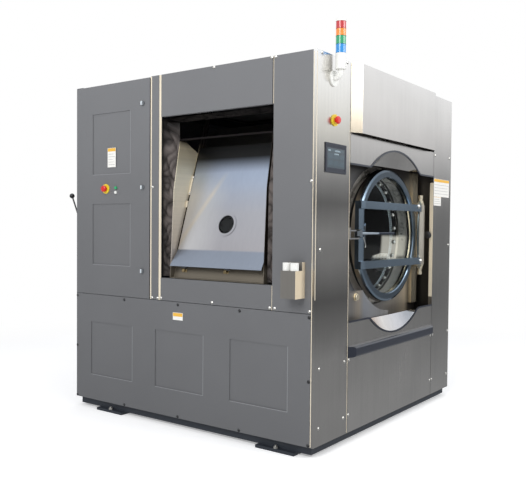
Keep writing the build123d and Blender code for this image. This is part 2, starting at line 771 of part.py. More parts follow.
# Touch screen: a bezel on the near column and its body behind the cut-out
bezel_thick = 5.0
bezel_width = 14.0
glass_sunk = 1.0
with BuildPart() as touch_screen:
    block(side, screen_near, screen_far, screen_low, screen_high, slip_gap, bezel_thick)
    block(side, screen_near + bezel_width, screen_far - bezel_width, screen_low + bezel_width,
          screen_high - bezel_width, bezel_thick - glass_sunk, bezel_thick + overrun, Mode.SUBTRACT)
    block(side, screen_body_near, screen_body_far, screen_low + screen_body_inset,
          screen_high - screen_body_inset, slip_gap, -screen_body_depth)
save(touch_screen, "touch_screen")

# Signal tower: a flange and elbow on the near column, the white base, a centre tube and the cap
tower_across = 162.0
tower_drop = 120.0
tower_up = panel_height - tower_drop
tower_flange_radius = 40.0
tower_flange_thick = 8.0
tower_tube_radius = 13.0
tower_bend = 24.0
tower_stem = 43.0
tower_base_low = tower_up + tower_stem
lens_rises = (123.0, 168.0, 210.0, 246.0, 284.0)
lens_levels = tuple(tower_up + rise for rise in lens_rises)
tower_cap_height = 11.0
tower_cap_high = lens_levels[-1] + tower_cap_height
tower_core_radius = 8.0
lens_wall = 4.0
with BuildPart() as signal_tower_body:
    disc(side, tower_across, tower_up, tower_flange_radius, 0, tower_flange_thick)
    disc(side, tower_across, tower_up, tower_tube_radius, 0, tower_standoff - tower_bend)
    with BuildSketch(side.offset(tower_standoff - tower_bend)) as tube_round:
        with Locations((tower_across, tower_up)):
            Circle(tower_tube_radius)
    bend_centre = (x_right + tower_standoff - tower_bend, y_front + tower_across,
                   z_base + tower_up + tower_bend)
    revolve(tube_round.sketch, axis=Axis(bend_centre, (0, -1, 0)), revolution_arc=90)
    disc(plan, cabinet_width + tower_standoff, tower_across, tower_tube_radius, tower_up + tower_bend,
         tower_base_low)
    disc(plan, cabinet_width + tower_standoff, tower_across, tower_radius, tower_base_low, lens_levels[0])
    disc(plan, cabinet_width + tower_standoff, tower_across, tower_core_radius, lens_levels[0],
         lens_levels[-1])
    disc(plan, cabinet_width + tower_standoff, tower_across, tower_radius, lens_levels[-1], tower_cap_high)
save(signal_tower_body, "signal_tower_body")

with BuildPart() as signal_lenses:
    for lens_low, lens_high in zip(lens_levels[:-1], lens_levels[1:]):
        disc(plan, cabinet_width + tower_standoff, tower_across, tower_radius - seat_gap, lens_low + slip_gap,
             lens_high - slip_gap)
    disc(plan, cabinet_width + tower_standoff, tower_across, tower_radius - lens_wall, lens_levels[0],
         lens_levels[-1], Mode.SUBTRACT)
save(signal_lenses, "signal_lenses")

# Tub: shell with its back plate and front flange, mouth towards the loading side, saddles below
mouth_left_inset = 50.0
mouth_left = chute_left + mouth_left_inset
mouth_right_inset = 49.0
mouth_right = chute_right - mouth_right_inset
mouth_rise = 5.0
mouth_low = tub_door_low + mouth_rise
mouth_drop = 500.0
mouth_high = panel_height - mouth_drop
tub_back_thick = 10.0
tub_back_hole = 130.0
tub_flange_width = 25.0
tub_flange_radius = tub_radius + tub_flange_width
tub_flange_thick = 16.0
saddle_thick = 20.0
saddle_low = 125.0
saddle_drop = 510.0
saddle_high = door_up - saddle_drop
saddle_inset = 215.0
saddle_half = tub_radius - saddle_inset
spring_inset = 100.0
spring_offset = saddle_half - spring_inset
pad_half = 72.0
pad_thick = 12.0
drain_across_tub = cabinet_width - drain_across
with BuildPart() as tub_shell:
    for place in spring_places:
        block(plan, place - saddle_thick / 2, place + saddle_thick / 2, door_across - saddle_half,
              door_across + saddle_half, saddle_low, saddle_high)
        for away in (-spring_offset, spring_offset):
            block(plan, place - pad_half, place + pad_half, door_across + away - pad_half,
                  door_across + away + pad_half, saddle_low, saddle_low + pad_thick)
    disc(drum_cross, 0, 0, tub_radius, 0, cabinet_width, Mode.SUBTRACT)
    turned(axis_section, drum_axis, (
        (tub_start, tub_back_hole),
        (tub_start, tub_radius),
        (tub_end - tub_flange_thick, tub_radius),
        (tub_end - tub_flange_thick, tub_flange_radius),
        (tub_end, tub_flange_radius),
        (tub_end, tub_radius - tub_wall),
        (tub_start + tub_back_thick, tub_radius - tub_wall),
        (tub_start + tub_back_thick, tub_back_hole),
    ))
    block(front, mouth_left, mouth_right, mouth_low, mouth_high, 0, -door_across, Mode.SUBTRACT)
    disc(plan, drain_across_tub, door_across, drain_bore, 0, door_up, Mode.SUBTRACT)
save(tub_shell, "tub_shell")

tub_plate_thick = 6.0
with BuildPart() as tub_front_plate:
    turned(axis_section, drum_axis, (
        (tub_end, neck_radius),
        (tub_end, tub_flange_radius),
        (tub_end + tub_plate_thick, tub_flange_radius),
        (tub_end + tub_plate_thick, neck_radius + neck_wall),
        (neck_end, neck_radius + neck_wall),
        (neck_end, neck_radius),
    ))
save(tub_front_plate, "tub_front_plate")

# Rubber gasket on the tub's neck: its lip meets the back of the round door
gasket_inner = neck_radius + neck_wall + slip_gap
gasket_sleeve_wall = 13.0
gasket_lip_walls = (22.0, 38.0)
gasket_sleeve = neck_radius + gasket_sleeve_wall
gasket_lip_inner = neck_radius + gasket_lip_walls[0]
gasket_lip_outer = neck_radius + gasket_lip_walls[1]
gasket_length = 30.0
gasket_fold_back = 10.0
gasket_crown = neck_end + neck_wall
gasket_back = gasket_crown - gasket_length
gasket_fold = gasket_crown - gasket_fold_back
gasket_front = cabinet_width - door_recess - door_thickness - slip_gap
with BuildPart() as door_gasket:
    turned(axis_section, drum_axis, (
        (gasket_back, gasket_inner),
        (gasket_crown, gasket_inner),
        (gasket_front, gasket_lip_inner),
        (gasket_front, gasket_lip_outer),
        (gasket_crown - sheet, gasket_lip_outer),
        (gasket_fold, gasket_sleeve),
        (gasket_back, gasket_sleeve),
    ))
save(door_gasket, "door_gasket")


def around(angle, radius):
    """Place on the drum's cross plane, the angle counted from the loading side upwards."""
    return (-radius * cos(radians(angle)), radius * sin(radians(angle)))


def sector(first, last, inner, outer, start, end, mode=Mode.ADD):
    """Curved strip round the drum's axis between two angles and two radii."""
    middle = (first + last) / 2
    with BuildSketch(drum_cross.offset(start)) as outline:
        with BuildLine():
            ThreePointArc(around(first, inner), around(middle, inner), around(last, inner))
            Line(around(last, inner), around(last, outer))
            ThreePointArc(around(last, outer), around(middle, outer), around(first, outer))
            Line(around(first, outer), around(first, inner))
        make_face()
    extrude(outline.sketch, amount=end - start, mode=mode)


# Drum with its mouth ring, three lifters, the hatch opening and the hatch's two guide strips
mouth_ring_wall = 8.0
mouth_ring_reaches = (28.0, 20.0)
mouth_ring_start = drum_end - mouth_ring_reaches[0]
mouth_ring_end = drum_end + mouth_ring_reaches[1]
drum_front_thick = 8.0
drum_back_thick = 10.0
lifter_angles = (78.0, 198.0, 318.0)
lifter_half_angle = 6.2
lifter_top_angle = 2.1
lifter_height = 112.0
lifter_top_radius = drum_radius - lifter_height
hatch_left = mouth_left
hatch_right = mouth_right
hatch_first = -1.0
hatch_last = 38.0
hatch_lap = 15.0
hatch_lap_angle = 3.0
hatch_wall = 4.0
guide_width = 6.0
guide_gap = 2.0
guide_high = 12.0
guide_first = -6.0
guide_last = 90.0
with BuildPart() as drum_shell:
    turned(axis_section, drum_axis, (
        (drum_start, 0),
        (drum_start, drum_radius),
        (drum_end, drum_radius),
        (drum_end, drum_mouth + mouth_ring_wall),
        (mouth_ring_end, drum_mouth + mouth_ring_wall),
        (mouth_ring_end, drum_mouth),
        (mouth_ring_start, drum_mouth),
        (mouth_ring_start, drum_mouth + mouth_ring_wall),
        (drum_end - drum_front_thick, drum_mouth + mouth_ring_wall),
        (drum_end - drum_front_thick, drum_radius - drum_wall),
        (drum_start + drum_back_thick, drum_radius - drum_wall),
        (drum_start + drum_back_thick, 0),
    ))
    for angle in lifter_angles:
        with BuildSketch(drum_cross.offset(drum_start + drum_back_thick / 2)) as lifter:
            with BuildLine():
                Polyline(
                    around(angle - lifter_half_angle, drum_radius - drum_wall / 2),
                    around(angle, drum_radius - drum_wall / 2),
                    around(angle + lifter_half_angle, drum_radius - drum_wall / 2),
                    around(angle + lifter_top_angle, lifter_top_radius),
                    around(angle - lifter_top_angle, lifter_top_radius),
                    close=True,
                )
            make_face()
        extrude(lifter.sketch, amount=drum_end - drum_start - drum_back_thick)
    guide_start = hatch_left - hatch_lap - guide_gap - guide_width
    for guide_place in (guide_start, hatch_right + hatch_lap + guide_gap):
        sector(guide_first, guide_last, drum_radius - drum_wall / 2, drum_radius + guide_high, guide_place,
               guide_place + guide_width)
    sector(hatch_first, hatch_last, drum_radius - overrun, drum_radius + overrun, hatch_left, hatch_right,
           Mode.SUBTRACT)
save(drum_shell, "drum_shell")

with BuildPart() as drum_hatch:
    sector(hatch_first - hatch_lap_angle, hatch_last + hatch_lap_angle, drum_radius + slip_gap,
           drum_radius + slip_gap + hatch_wall, hatch_left - hatch_lap, hatch_right + hatch_lap)
save(drum_hatch, "drum_hatch")

# Shaft with its flange and three arms behind the drum
shaft_start = 140.0
spider_thick = 24.0
spider_width = 90.0
spider_shortfall = 50.0
spider_reach = drum_radius - spider_shortfall
shaft_flange_radius = 200.0
with BuildPart() as drum_shaft:
    disc(drum_cross, 0, 0, shaft_radius, shaft_start, drum_start)
    disc(drum_cross, 0, 0, shaft_flange_radius, drum_start - spider_thick, drum_start)
    with BuildSketch(drum_cross.offset(drum_start - spider_thick)) as spider:
        with PolarLocations(spider_reach / 2, len(lifter_angles)):
            Rectangle(spider_reach, spider_width)
    extrude(spider.sketch, amount=spider_thick)
save(drum_shaft, "drum_shaft")

# Bearing housing bolted behind the tub, with two bearings
housing_start = 330.0
housing_radius = 120.0
housing_bore = 85.0
housing_flange_radius = 260.0
housing_flange_thick = 20.0
seal_radius = 58.0
bearing_width = 50.0
bearing_starts = (345.0, 545.0)
with BuildPart() as bearing_housing:
    turned(axis_section, drum_axis, (
        (housing_start, housing_bore),
        (housing_start, housing_radius),
        (tub_start - housing_flange_thick, housing_radius),
        (tub_start - housing_flange_thick, housing_flange_radius),
        (tub_start, housing_flange_radius),
        (tub_start, seal_radius),
        (tub_start - housing_flange_thick, seal_radius),
        (tub_start - housing_flange_thick, housing_bore),
    ))
save(bearing_housing, "bearing_housing")

with BuildPart() as bearings:
    for place in bearing_starts:
        disc(drum_cross, 0, 0, housing_bore - running_gap, place, place + bearing_width)
        disc(drum_cross, 0, 0, shaft_radius + running_gap, place, place + bearing_width, Mode.SUBTRACT)
save(bearings, "bearings")

# Belt drive
pulley_hub_radius = 90.0
pulley_rim = 20.0
pulley_web_inset = 30.0
belt_gap = 0.3
belt_thick = 8.0
belt_inset = 5.0
motor_shaft_radius = 24.0
motor_shaft_length = 150.0
motor_start = 250.0
motor_length = 310.0
motor_radius = 140.0
motor_place = (motor_across - door_across, motor_up - door_up)
with BuildPart() as drum_pulley:
    turned(axis_section, drum_axis, (
        (pulley_start, shaft_radius + running_gap),
        (pulley_start, pulley_hub_radius),
        (pulley_start + pulley_web_inset, pulley_hub_radius),
        (pulley_start + pulley_web_inset, drum_pulley_radius - pulley_rim),
        (pulley_start, drum_pulley_radius - pulley_rim),
        (pulley_start, drum_pulley_radius),
        (pulley_start + pulley_width, drum_pulley_radius),
        (pulley_start + pulley_width, drum_pulley_radius - pulley_rim),
        (pulley_start + pulley_width - pulley_web_inset, drum_pulley_radius - pulley_rim),
        (pulley_start + pulley_width - pulley_web_inset, pulley_hub_radius),
        (pulley_start + pulley_width, pulley_hub_radius),
        (pulley_start + pulley_width, shaft_radius + running_gap),
    ))
save(drum_pulley, "drum_pulley")

with BuildPart() as motor_pulley:
    disc(drum_cross, *motor_place, motor_pulley_radius, pulley_start + belt_inset,
         pulley_start + pulley_width)
    disc(drum_cross, *motor_place, motor_shaft_radius, pulley_start + pulley_width,
         motor_start + motor_shaft_length)
save(motor_pulley, "motor_pulley")


def belt_loop(growth):
    """Outline of the belt's path round both pulleys, grown by a distance."""
    with BuildSketch(drum_cross.offset(pulley_start + belt_inset)) as loop:
        Circle(drum_pulley_radius + growth)
        with Locations(motor_place):
            Circle(motor_pulley_radius + growth)
        make_hull()
    return loop.sketch


with BuildPart() as drive_belt:
    extrude(belt_loop(belt_gap + belt_thick), amount=pulley_width - 2 * belt_inset)
    extrude(belt_loop(belt_gap), amount=pulley_width - 2 * belt_inset, mode=Mode.SUBTRACT)
save(drive_belt, "drive_belt")

# Motor on its pedestal, with a terminal box on top
pedestal_half = 100.0
pedestal_width = 44.0
terminal_half = 50.0
terminal_length = 120.0
terminal_high = 60.0
with BuildPart() as drive_motor:
    disc(drum_cross, *motor_place, motor_radius, motor_start, motor_start + motor_length)
    for place in motor_beams:
        block(plan, place - pedestal_width / 2, place + pedestal_width / 2, motor_across - pedestal_half,
              motor_across + pedestal_half, beam_high, motor_up - motor_radius + pedestal_width)
    block(plan, motor_beams[0], motor_beams[0] + terminal_length, motor_across - terminal_half,
          motor_across + terminal_half, motor_up, motor_up + motor_radius + terminal_high)
    disc(drum_cross, *motor_place, motor_shaft_radius + running_gap, 0,
         motor_start + motor_shaft_length + seat_gap, Mode.SUBTRACT)
save(drive_motor, "drive_motor")

# Four air springs between the base frame and the saddles
spring_neck = 60.0
spring_waist = 64.0
spring_lobe = 80.0
spring_height = saddle_low - beam_high
spring_shares = ((0.0, 0), (0.0, 1), (0.25, 2), (0.5, 3), (0.75, 2), (1.0, 1), (1.0, 0))
spring_radii = (0.0, spring_neck, spring_lobe, spring_waist)
with BuildPart() as air_springs:
    for place in spring_places:
        for away in (-spring_offset, spring_offset):
            spring_foot = (x_left + place, y_front + door_across + away, z_base + beam_high)
            spring_profile = [(spring_radii[ring], share * spring_height) for share, ring in spring_shares]
            turned(Plane(origin=spring_foot, x_dir=(1, 0, 0), z_dir=(0, -1, 0)),
                   Axis(spring_foot, (0, 0, 1)), spring_profile)
save(air_springs, "air_springs")

# Drain pipe from the tub's lowest point out through the rear
with BuildPart() as drain_outlet:
    disc(rear, drain_across, drain_up, drain_spigot_radius, seat_gap, pipe_reach)
    for pipe_radius, pipe_end, pipe_mode in ((drain_radius, seat_gap, Mode.ADD),
                                             (drain_bore, pipe_reach + overrun, Mode.SUBTRACT)):
        disc(plan, drain_across_tub, door_across, pipe_radius, drain_up, door_up - tub_radius + overrun,
             pipe_mode)
        disc(rear, drain_across, drain_up, pipe_radius, door_across - cabinet_depth, pipe_end, pipe_mode)
        disc(rear, drain_across, drain_up, pipe_radius, door_across - cabinet_depth - pipe_radius,
             door_across - cabinet_depth, pipe_mode)
    disc(drum_cross, 0, 0, tub_radius + slip_gap, 0, cabinet_width, Mode.SUBTRACT)
save(drain_outlet, "drain_outlet")

inlet_flange_thick = 12.0
with BuildPart() as water_inlets:
    for place in inlet_places:
        disc(rear, place, inlet_up, inlet_body_radius, -inlet_back, inlet_flange_thick)
        hex_nut(rear, place, inlet_up, inlet_nut_radius, slip_gap, slip_gap + inlet_flange_thick)
        disc(rear, place, inlet_up, inlet_radius, slip_gap + inlet_flange_thick, inlet_back)
        disc(rear, place, inlet_up, inlet_bore, -inlet_back - overrun, inlet_back + overrun, Mode.SUBTRACT)
save(water_inlets, "water_inlets")

# Loading chute: two cheeks, floor, roof, the bulkhead behind the tub door and the door's rails
cheek_depths = (8.0, 35.0, 90.0, 243.0, 400.0)
cheek_drops = (673.0, 360.0, 440.0)
chute_floor_gap = 3.0
cheek_outline = (
    (cheek_depths[0], opening_low + chute_floor_gap),
    (cheek_depths[1], panel_height - cheek_drops[0]),
    (cheek_depths[2], panel_height - cheek_drops[1]),
    (cheek_depths[3], panel_height - cheek_drops[2]),
    (cheek_depths[4], panel_height - cheek_drops[2]),
    (cheek_depths[4], opening_low + chute_floor_gap),
)
chute_front, chute_low = cheek_outline[0]
chute_back, chute_high = cheek_outline[4]
tie_back, tie_up = cheek_outline[2]
tie_size = 10.0
bulkhead_front = 24.0
bulkhead_thick = 6.0
chute_roof_front = cheek_outline[3][0] + (bulkhead_front + bulkhead_thick / 2) / cos(radians(tilt))
bulkhead_foot = (chute_low - tub_door_low) / cos(radians(tilt))
bulkhead_top = (chute_high - tub_door_low) / cos(radians(tilt))
slope_mouth_low = 60.0
slope_mouth_inset = 160.0
slope_mouth_high = tub_door_length - slope_mouth_inset
rail_headroom = 39.5
rail_top = (panel_height - tub_door_low) / cos(radians(tilt)) - rail_headroom
rail_side = 11.6
rail_shelf = 22.0
shelf_front = tub_door_thick + slip_gap
with BuildPart() as loading_chute:
    for wall_left in (chute_left - chute_wall, chute_right):
        with BuildSketch(side.offset(wall_left - cabinet_width)) as cheek:
            with BuildLine():
                Polyline(*cheek_outline, close=True)
            make_face()
        extrude(cheek.sketch, amount=chute_wall)
    block(plan, chute_left, chute_right, chute_front, chute_back, chute_low, chute_low + chute_wall)
    block(plan, chute_left, chute_right, chute_roof_front, chute_back, chute_high - chute_wall, chute_high)
    block(plan, chute_left, chute_right, tie_back, tie_back + tie_size, tie_up - 2 * tie_size,
          tie_up - tie_size)
    block(slope, chute_left, chute_right, bulkhead_foot, bulkhead_top, -bulkhead_front - bulkhead_thick,
          -bulkhead_front)
    block(slope, mouth_left, mouth_right, slope_mouth_low, slope_mouth_high,
          -bulkhead_front - overrun, -bulkhead_front, Mode.SUBTRACT)
    for rail_left, shelf_left in ((chute_left, chute_left),
                                  (chute_right - rail_side, chute_right - rail_shelf)):
        block(slope, rail_left, rail_left + rail_side, 0, rail_top, -bulkhead_front, -seat_gap)
        block(slope, shelf_left, shelf_left + rail_shelf, 0, rail_top, -bulkhead_front, -shelf_front)
    block(slope, chute_left, chute_right, rail_top - tie_size, rail_top, -bulkhead_front, -shelf_front)
    disc(drum_cross, 0, 0, tub_radius + slip_gap, 0, cabinet_width, Mode.SUBTRACT)
save(loading_chute, "loading_chute")

# Tilted tub door: plate with the window's rim, and its folded-out lip with two hooks beneath
window_offset = 4.5
window_across = (tub_door_left + tub_door_right) / 2 + window_offset
window_up = 154.0
window_radius = 60.0
window_rim_out = 68.0
window_rim_in = 54.0
window_rim_proud = 3.0
lip_tilt = 34.0
lip_length = 114.0
lip_flare = 8.0
lip_straight = 14.0
lip_thick = 3.0
lip_root = 6.0
hook_insets = (88.0, 239.0)
hook_places = (tub_door_left + hook_insets[0], tub_door_right - hook_insets[1])
hook_half = 16.0
hook_drop = 22.0
hook_thick = 8.0
lip_plane = Plane(
    origin=(x_left, y_front + tub_door_back, z_base + tub_door_low),
    x_dir=(1, 0, 0),
    z_dir=(0, -cos(radians(lip_tilt)), sin(radians(lip_tilt))),
)
with BuildPart() as tub_door:
    block(slope, tub_door_left, tub_door_right, 0, tub_door_length, -tub_door_thick, 0)
    disc(slope, window_across, window_up, window_rim_out, 0, window_rim_proud)
    disc(slope, window_across, window_up, window_rim_in, -overrun, overrun, Mode.SUBTRACT)
    disc(slope, window_across, window_up, window_radius + slip_gap, -tub_door_thick - overrun, -slip_gap,
         Mode.SUBTRACT)
    with BuildSketch(lip_plane) as lip:
        with BuildLine():
            Polyline(
                (tub_door_left, lip_root),
                (tub_door_right, lip_root),
                (tub_door_right, -lip_straight),
                (tub_door_right + lip_flare, -lip_length),
                (tub_door_left - lip_flare, -lip_length),
                (tub_door_left, -lip_straight),
                close=True,
            )
        make_face()
    extrude(lip.sketch, amount=-lip_thick)
    for place in hook_places:
        block(lip_plane, place - hook_half, place + hook_half, lip_thick - lip_length,
              2 * lip_thick - lip_length, -lip_thick - hook_drop, -lip_thick)
        block(lip_plane, place - hook_half, place + hook_half, lip_thick - lip_length,
              lip_thick + hook_thick - lip_length, -lip_thick - hook_drop, hook_thick - lip_thick - hook_drop)
save(tub_door, "tub_door")

with BuildPart() as tub_door_window:
    disc(slope, window_across, window_up, window_radius, -tub_door_thick + lip_thick, -2 * slip_gap)
save(tub_door_window, "tub_door_window")

# Round door: a ring with a groove for its glass
ring_round = 10.0
ring_edge = 18.0
ring_edge_share = 0.3
ring_lip = 20.0
glass_thick = 12.0
ring_back = cabinet_width - door_recess - door_thickness
ring_front = cabinet_width - door_recess
glass_front = ring_front - ring_lip - 2 * slip_gap
glass_back = glass_front - glass_thick
glass_edge = door_glass_radius + ring_round
with BuildPart() as door_ring:
    turned(axis_section, drum_axis, (
        (ring_back, door_glass_radius),
        (ring_back, door_radius),
        (ring_front - ring_edge, door_radius),
        (ring_front - ring_edge_share * ring_edge, door_radius - ring_edge_share * ring_edge),
        (ring_front, door_radius - ring_edge),
        (ring_front, door_glass_radius + ring_round / 2),
        (ring_front - ring_round / 2, door_glass_radius),
        (glass_front + slip_gap, door_glass_radius),
        (glass_front + slip_gap, glass_edge + slip_gap),
        (glass_back - slip_gap, glass_edge + slip_gap),
        (glass_back - slip_gap, door_glass_radius),
    ))
save(door_ring, "door_ring")

with BuildPart() as door_glass:
    disc(side, door_across, door_up, glass_edge, glass_back - cabinet_width, glass_front - cabinet_width)
save(door_glass, "door_glass")

# Frame across the round door: two arms, the upright with the lever's ears, and the hinge tube
upright_width = 61.0
upright_far = arm_start + upright_width
upright_thick = 25.0
tube_drop = 190.0
tube_low = door_up - tube_drop
tube_high = upper_arm_up + arm_height / 2
arm_back = -door_recess
arm_front = arm_depth - door_recess
lever_pivot_offset = 12.0
lever_pivot_across = arm_start - lever_pivot_offset
lever_pivot_out_side = -2.0
clamp_rise = 14.0
clamp_up = door_up + clamp_rise
clamp_hub_radius = 11.0
clamp_hub_half = 18.0
clamp_pin_radius = 5.0
ear_plate = 4.0
ear_near = lever_pivot_across - clamp_hub_radius
ear_far = arm_start + 2 * ear_plate
with BuildPart() as door_frame:
    for arm_up in (upper_arm_up, lower_arm_up):
        block(side, arm_start, hinge_across, arm_up - arm_height / 2, arm_up + arm_height / 2, arm_back,
              arm_front)
    block(side, arm_start, upright_far, lower_arm_up, upper_arm_up, arm_back, arm_back + upright_thick)
    disc(plan, cabinet_width - hinge_recess, hinge_across, hinge_tube_radius, tube_low, tube_high)
    disc(plan, cabinet_width - hinge_recess, hinge_across, hinge_rod_radius + running_gap, tube_low - overrun,
         tube_high + overrun, Mode.SUBTRACT)
    for ear_low in (clamp_up - clamp_hub_half - ear_plate, clamp_up + clamp_hub_half):
        block(side, ear_near, ear_far, ear_low, ear_low + ear_plate, arm_back + ear_plate,
              lever_pivot_out_side + clamp_hub_radius)
    disc(plan, cabinet_width + lever_pivot_out_side, lever_pivot_across, clamp_pin_radius,
         clamp_up - clamp_hub_half - ear_plate, clamp_up + clamp_hub_half + ear_plate)
save(door_frame, "door_frame")

# Clamp lever: hub on its pin, nose towards the keeper, hooked plate, tapered arm and grip
nose_length = 53.0
nose_half = 8.0
nose_half_height = 14.0
arm_root_radius = 9.0
arm_tip_radius = 6.0
grip_start = 170.0
grip_radius = 8.0
clamp_length = 330.0
clamp_swing_out = 7.0
claw_across = 46.0
claw_rise = 56.0
claw_bow = 16.0
claw_width = 9.0
claw_thick = 7.0
claw_tip = lever_pivot_across + claw_across
clamp_hub_place = (cabinet_width + lever_pivot_out_side, lever_pivot_across)
clamp_point = (x_right + lever_pivot_out_side, y_front + lever_pivot_across, z_base + clamp_up)
clamp_dir = (sin(radians(clamp_swing_out)), cos(radians(clamp_swing_out)), 0)
clamp_plane = Plane(origin=clamp_point, x_dir=(0, 0, 1), z_dir=clamp_dir)
with BuildPart() as clamp_lever:
    disc(plan, *clamp_hub_place, clamp_hub_radius, clamp_up - clamp_hub_half + slip_gap,
         clamp_up + clamp_hub_half - slip_gap)
    block(side, lever_pivot_across - nose_length, lever_pivot_across, clamp_up - nose_half_height,
          clamp_up + nose_half_height, lever_pivot_out_side - nose_half, lever_pivot_out_side + nose_half)
    with BuildSketch(clamp_plane) as arm_root:
        Circle(arm_root_radius)
    with BuildSketch(clamp_plane.offset(grip_start)) as arm_tip:
        Circle(arm_tip_radius)
    loft([arm_root.sketch.face(), arm_tip.sketch.face()], ruled=True)
    disc(clamp_plane, 0, 0, grip_radius, grip_start, clamp_length)
    with BuildSketch(side.offset(lever_pivot_out_side)) as claw:
        with BuildLine():
            ThreePointArc(
                (claw_tip, clamp_up - claw_rise),
                (claw_tip - claw_bow, clamp_up),
                (claw_tip, clamp_up + claw_rise),
            )
            ThreePointArc(
                (claw_tip, clamp_up - claw_rise),
                (claw_tip - claw_bow + claw_width, clamp_up),
                (claw_tip, clamp_up + claw_rise),
            )
        make_face()
    extrude(claw.sketch, amount=claw_thick)
    disc(plan, *clamp_hub_place, clamp_pin_radius + running_gap, clamp_up - 2 * clamp_hub_half,
         clamp_up + 2 * clamp_hub_half, Mode.SUBTRACT)
save(clamp_lever, "clamp_lever")

# Keeper on the recess's near wall: a base with two prongs
keeper_base = 6.0
keeper_half = 32.0
keeper_back = -24.0
keeper_front = 8.0
prong_half = 4.0
prong_rise = 16.0
prong_drop = 28.0
prong_reaches = (78.0, 113.0)
with BuildPart() as clamp_keeper:
    block(side, near_column_width, near_column_width + keeper_base, clamp_up - keeper_half,
          clamp_up + keeper_half, keeper_back, keeper_front)
    for prong_up, prong_reach in zip((clamp_up + prong_rise, clamp_up - prong_drop), prong_reaches):
        block(side, near_column_width, near_column_width + prong_reach, prong_up - prong_half,
              prong_up + prong_half, -prong_half, prong_half)
save(clamp_keeper, "clamp_keeper")

# Hinge post in the recess: a channel with two brackets that hold the hinge rod, its nuts and end knobs
post_inset = 35.0
post_far = pocket_right - post_inset
post_width = 80.0
post_near = post_far - post_width
post_low_gap = 140.0
post_low = pocket_low + post_low_gap
post_top_gap = 110.0
post_top = pocket_high - post_top_gap
post_depth = 25.0
post_wall = 4.0
bracket_thick = 12.0
bracket_half = 16.0
rod_low_reach = 45.0
rod_low = tube_low - rod_low_reach
rod_high_reach = 43.0
rod_high = tube_high + rod_high_reach
nut_radius = 18.0
nut_height = 14.0
knob_radius = 14.0
knob_height = 20.0
post_back = cabinet_width - pocket_depth
post_front = post_back + post_depth
hinge_place = cabinet_width - hinge_recess
bracket_levels = (tube_low - bracket_thick - slip_gap, tube_high + slip_gap)
with BuildPart() as door_hinge_post:
    block(side, post_near, post_far, post_low, post_top, -pocket_depth, post_depth - pocket_depth)
    block(side, post_near + post_wall, post_far - post_wall, post_low + post_wall, post_top - post_wall,
          -pocket_depth, post_depth - post_wall - pocket_depth, Mode.SUBTRACT)
    for level in bracket_levels:
        with BuildSketch(plan.offset(level)) as bracket:
            with BuildLine():
                Polyline(
                    (post_front - post_wall / 2, post_near + post_wall),
                    (post_front - post_wall / 2, post_far - bracket_half),
                    (hinge_place + bracket_half, hinge_across + bracket_half),
                    (hinge_place + bracket_half, hinge_across - bracket_half),
                    (hinge_place - bracket_half, hinge_across - bracket_half),
                    close=True,
                )
            make_face()
        extrude(bracket.sketch, amount=bracket_thick)
    disc(plan, hinge_place, hinge_across, hinge_rod_radius, rod_low, rod_high)
    hex_nut(plan, hinge_place, hinge_across, nut_radius, bracket_levels[0] - nut_height, bracket_levels[0])
    hex_nut(plan, hinge_place, hinge_across, nut_radius, bracket_levels[1] + bracket_thick,
            bracket_levels[1] + bracket_thick + nut_height)
    disc(plan, hinge_place, hinge_across, knob_radius, rod_low - knob_height, rod_low)
    disc(plan, hinge_place, hinge_across, knob_radius, rod_high, rod_high + knob_height)
save(door_hinge_post, "door_hinge_post")

# Hygiene curtain: pleated cloth that closes the gap between the casing's opening and the chute
curtain_thick = 2.0
band_front = 27.0
band_side = 13.0
curtain_low = chute_low + chute_wall
curtain_top_gap = 3.0
curtain_high = opening_high - curtain_top_gap
curtain_levels_share = (0.0, 0.22, 0.45, 0.62, 0.82, 1.0)
pleats_share = (
    (0.0, 0.55, -0.25, 0.75, -0.1, 0.9, 0.1, 0.65, 0.0),
    (0.0, 0.8, -0.45, 0.5, -0.4, 1.0, -0.1, 0.8, 0.0),
    (0.0, 0.6, -0.15, 0.95, -0.35, 0.7, -0.25, 0.9, 0.0),
    (0.0, 0.95, -0.4, 0.7, -0.05, 0.95, -0.3, 0.6, 0.0),
    (0.0, 0.7, -0.2, 1.0, -0.3, 0.75, 0.0, 0.9, 0.0),
    (0.0, 0.9, -0.35, 0.8, -0.15, 1.0, -0.2, 0.7, 0.0),
)
pleat_depth = 16.0


def cheek_front(up):
    """Depth of the cheeks' front edge at a height."""
    lower, middle, upper = cheek_outline[:3]
    first, last = (lower, middle) if up < middle[1] else (middle, upper)
    return first[0] + (up - first[1]) / (last[1] - first[1]) * (last[0] - first[0])


def pleated(outer, inner):
    """Pleated strip between an outer line and a cheek, from the sill to the top of the opening."""
    sections = []
    for level, shares in zip(curtain_levels_share, pleats_share):
        up = curtain_low + level * (curtain_high - curtain_low)
        reach = min(cheek_front(up), tie_back) + curtain_thick
        run = []
        for step, share in enumerate(shares):
            along = step / (len(shares) - 1)
            back = band_front + along * (reach - band_front) + share * pleat_depth
            run.append((outer + along * (inner - outer), back))
        back_run = [(across, place + curtain_thick) for across, place in reversed(run)]
        with BuildSketch(plan.offset(up)) as section:
            with BuildLine():
                Polyline(*run, *back_run, close=True)
            make_face()
        sections.append(section.sketch.face())
    loft(sections, ruled=True)


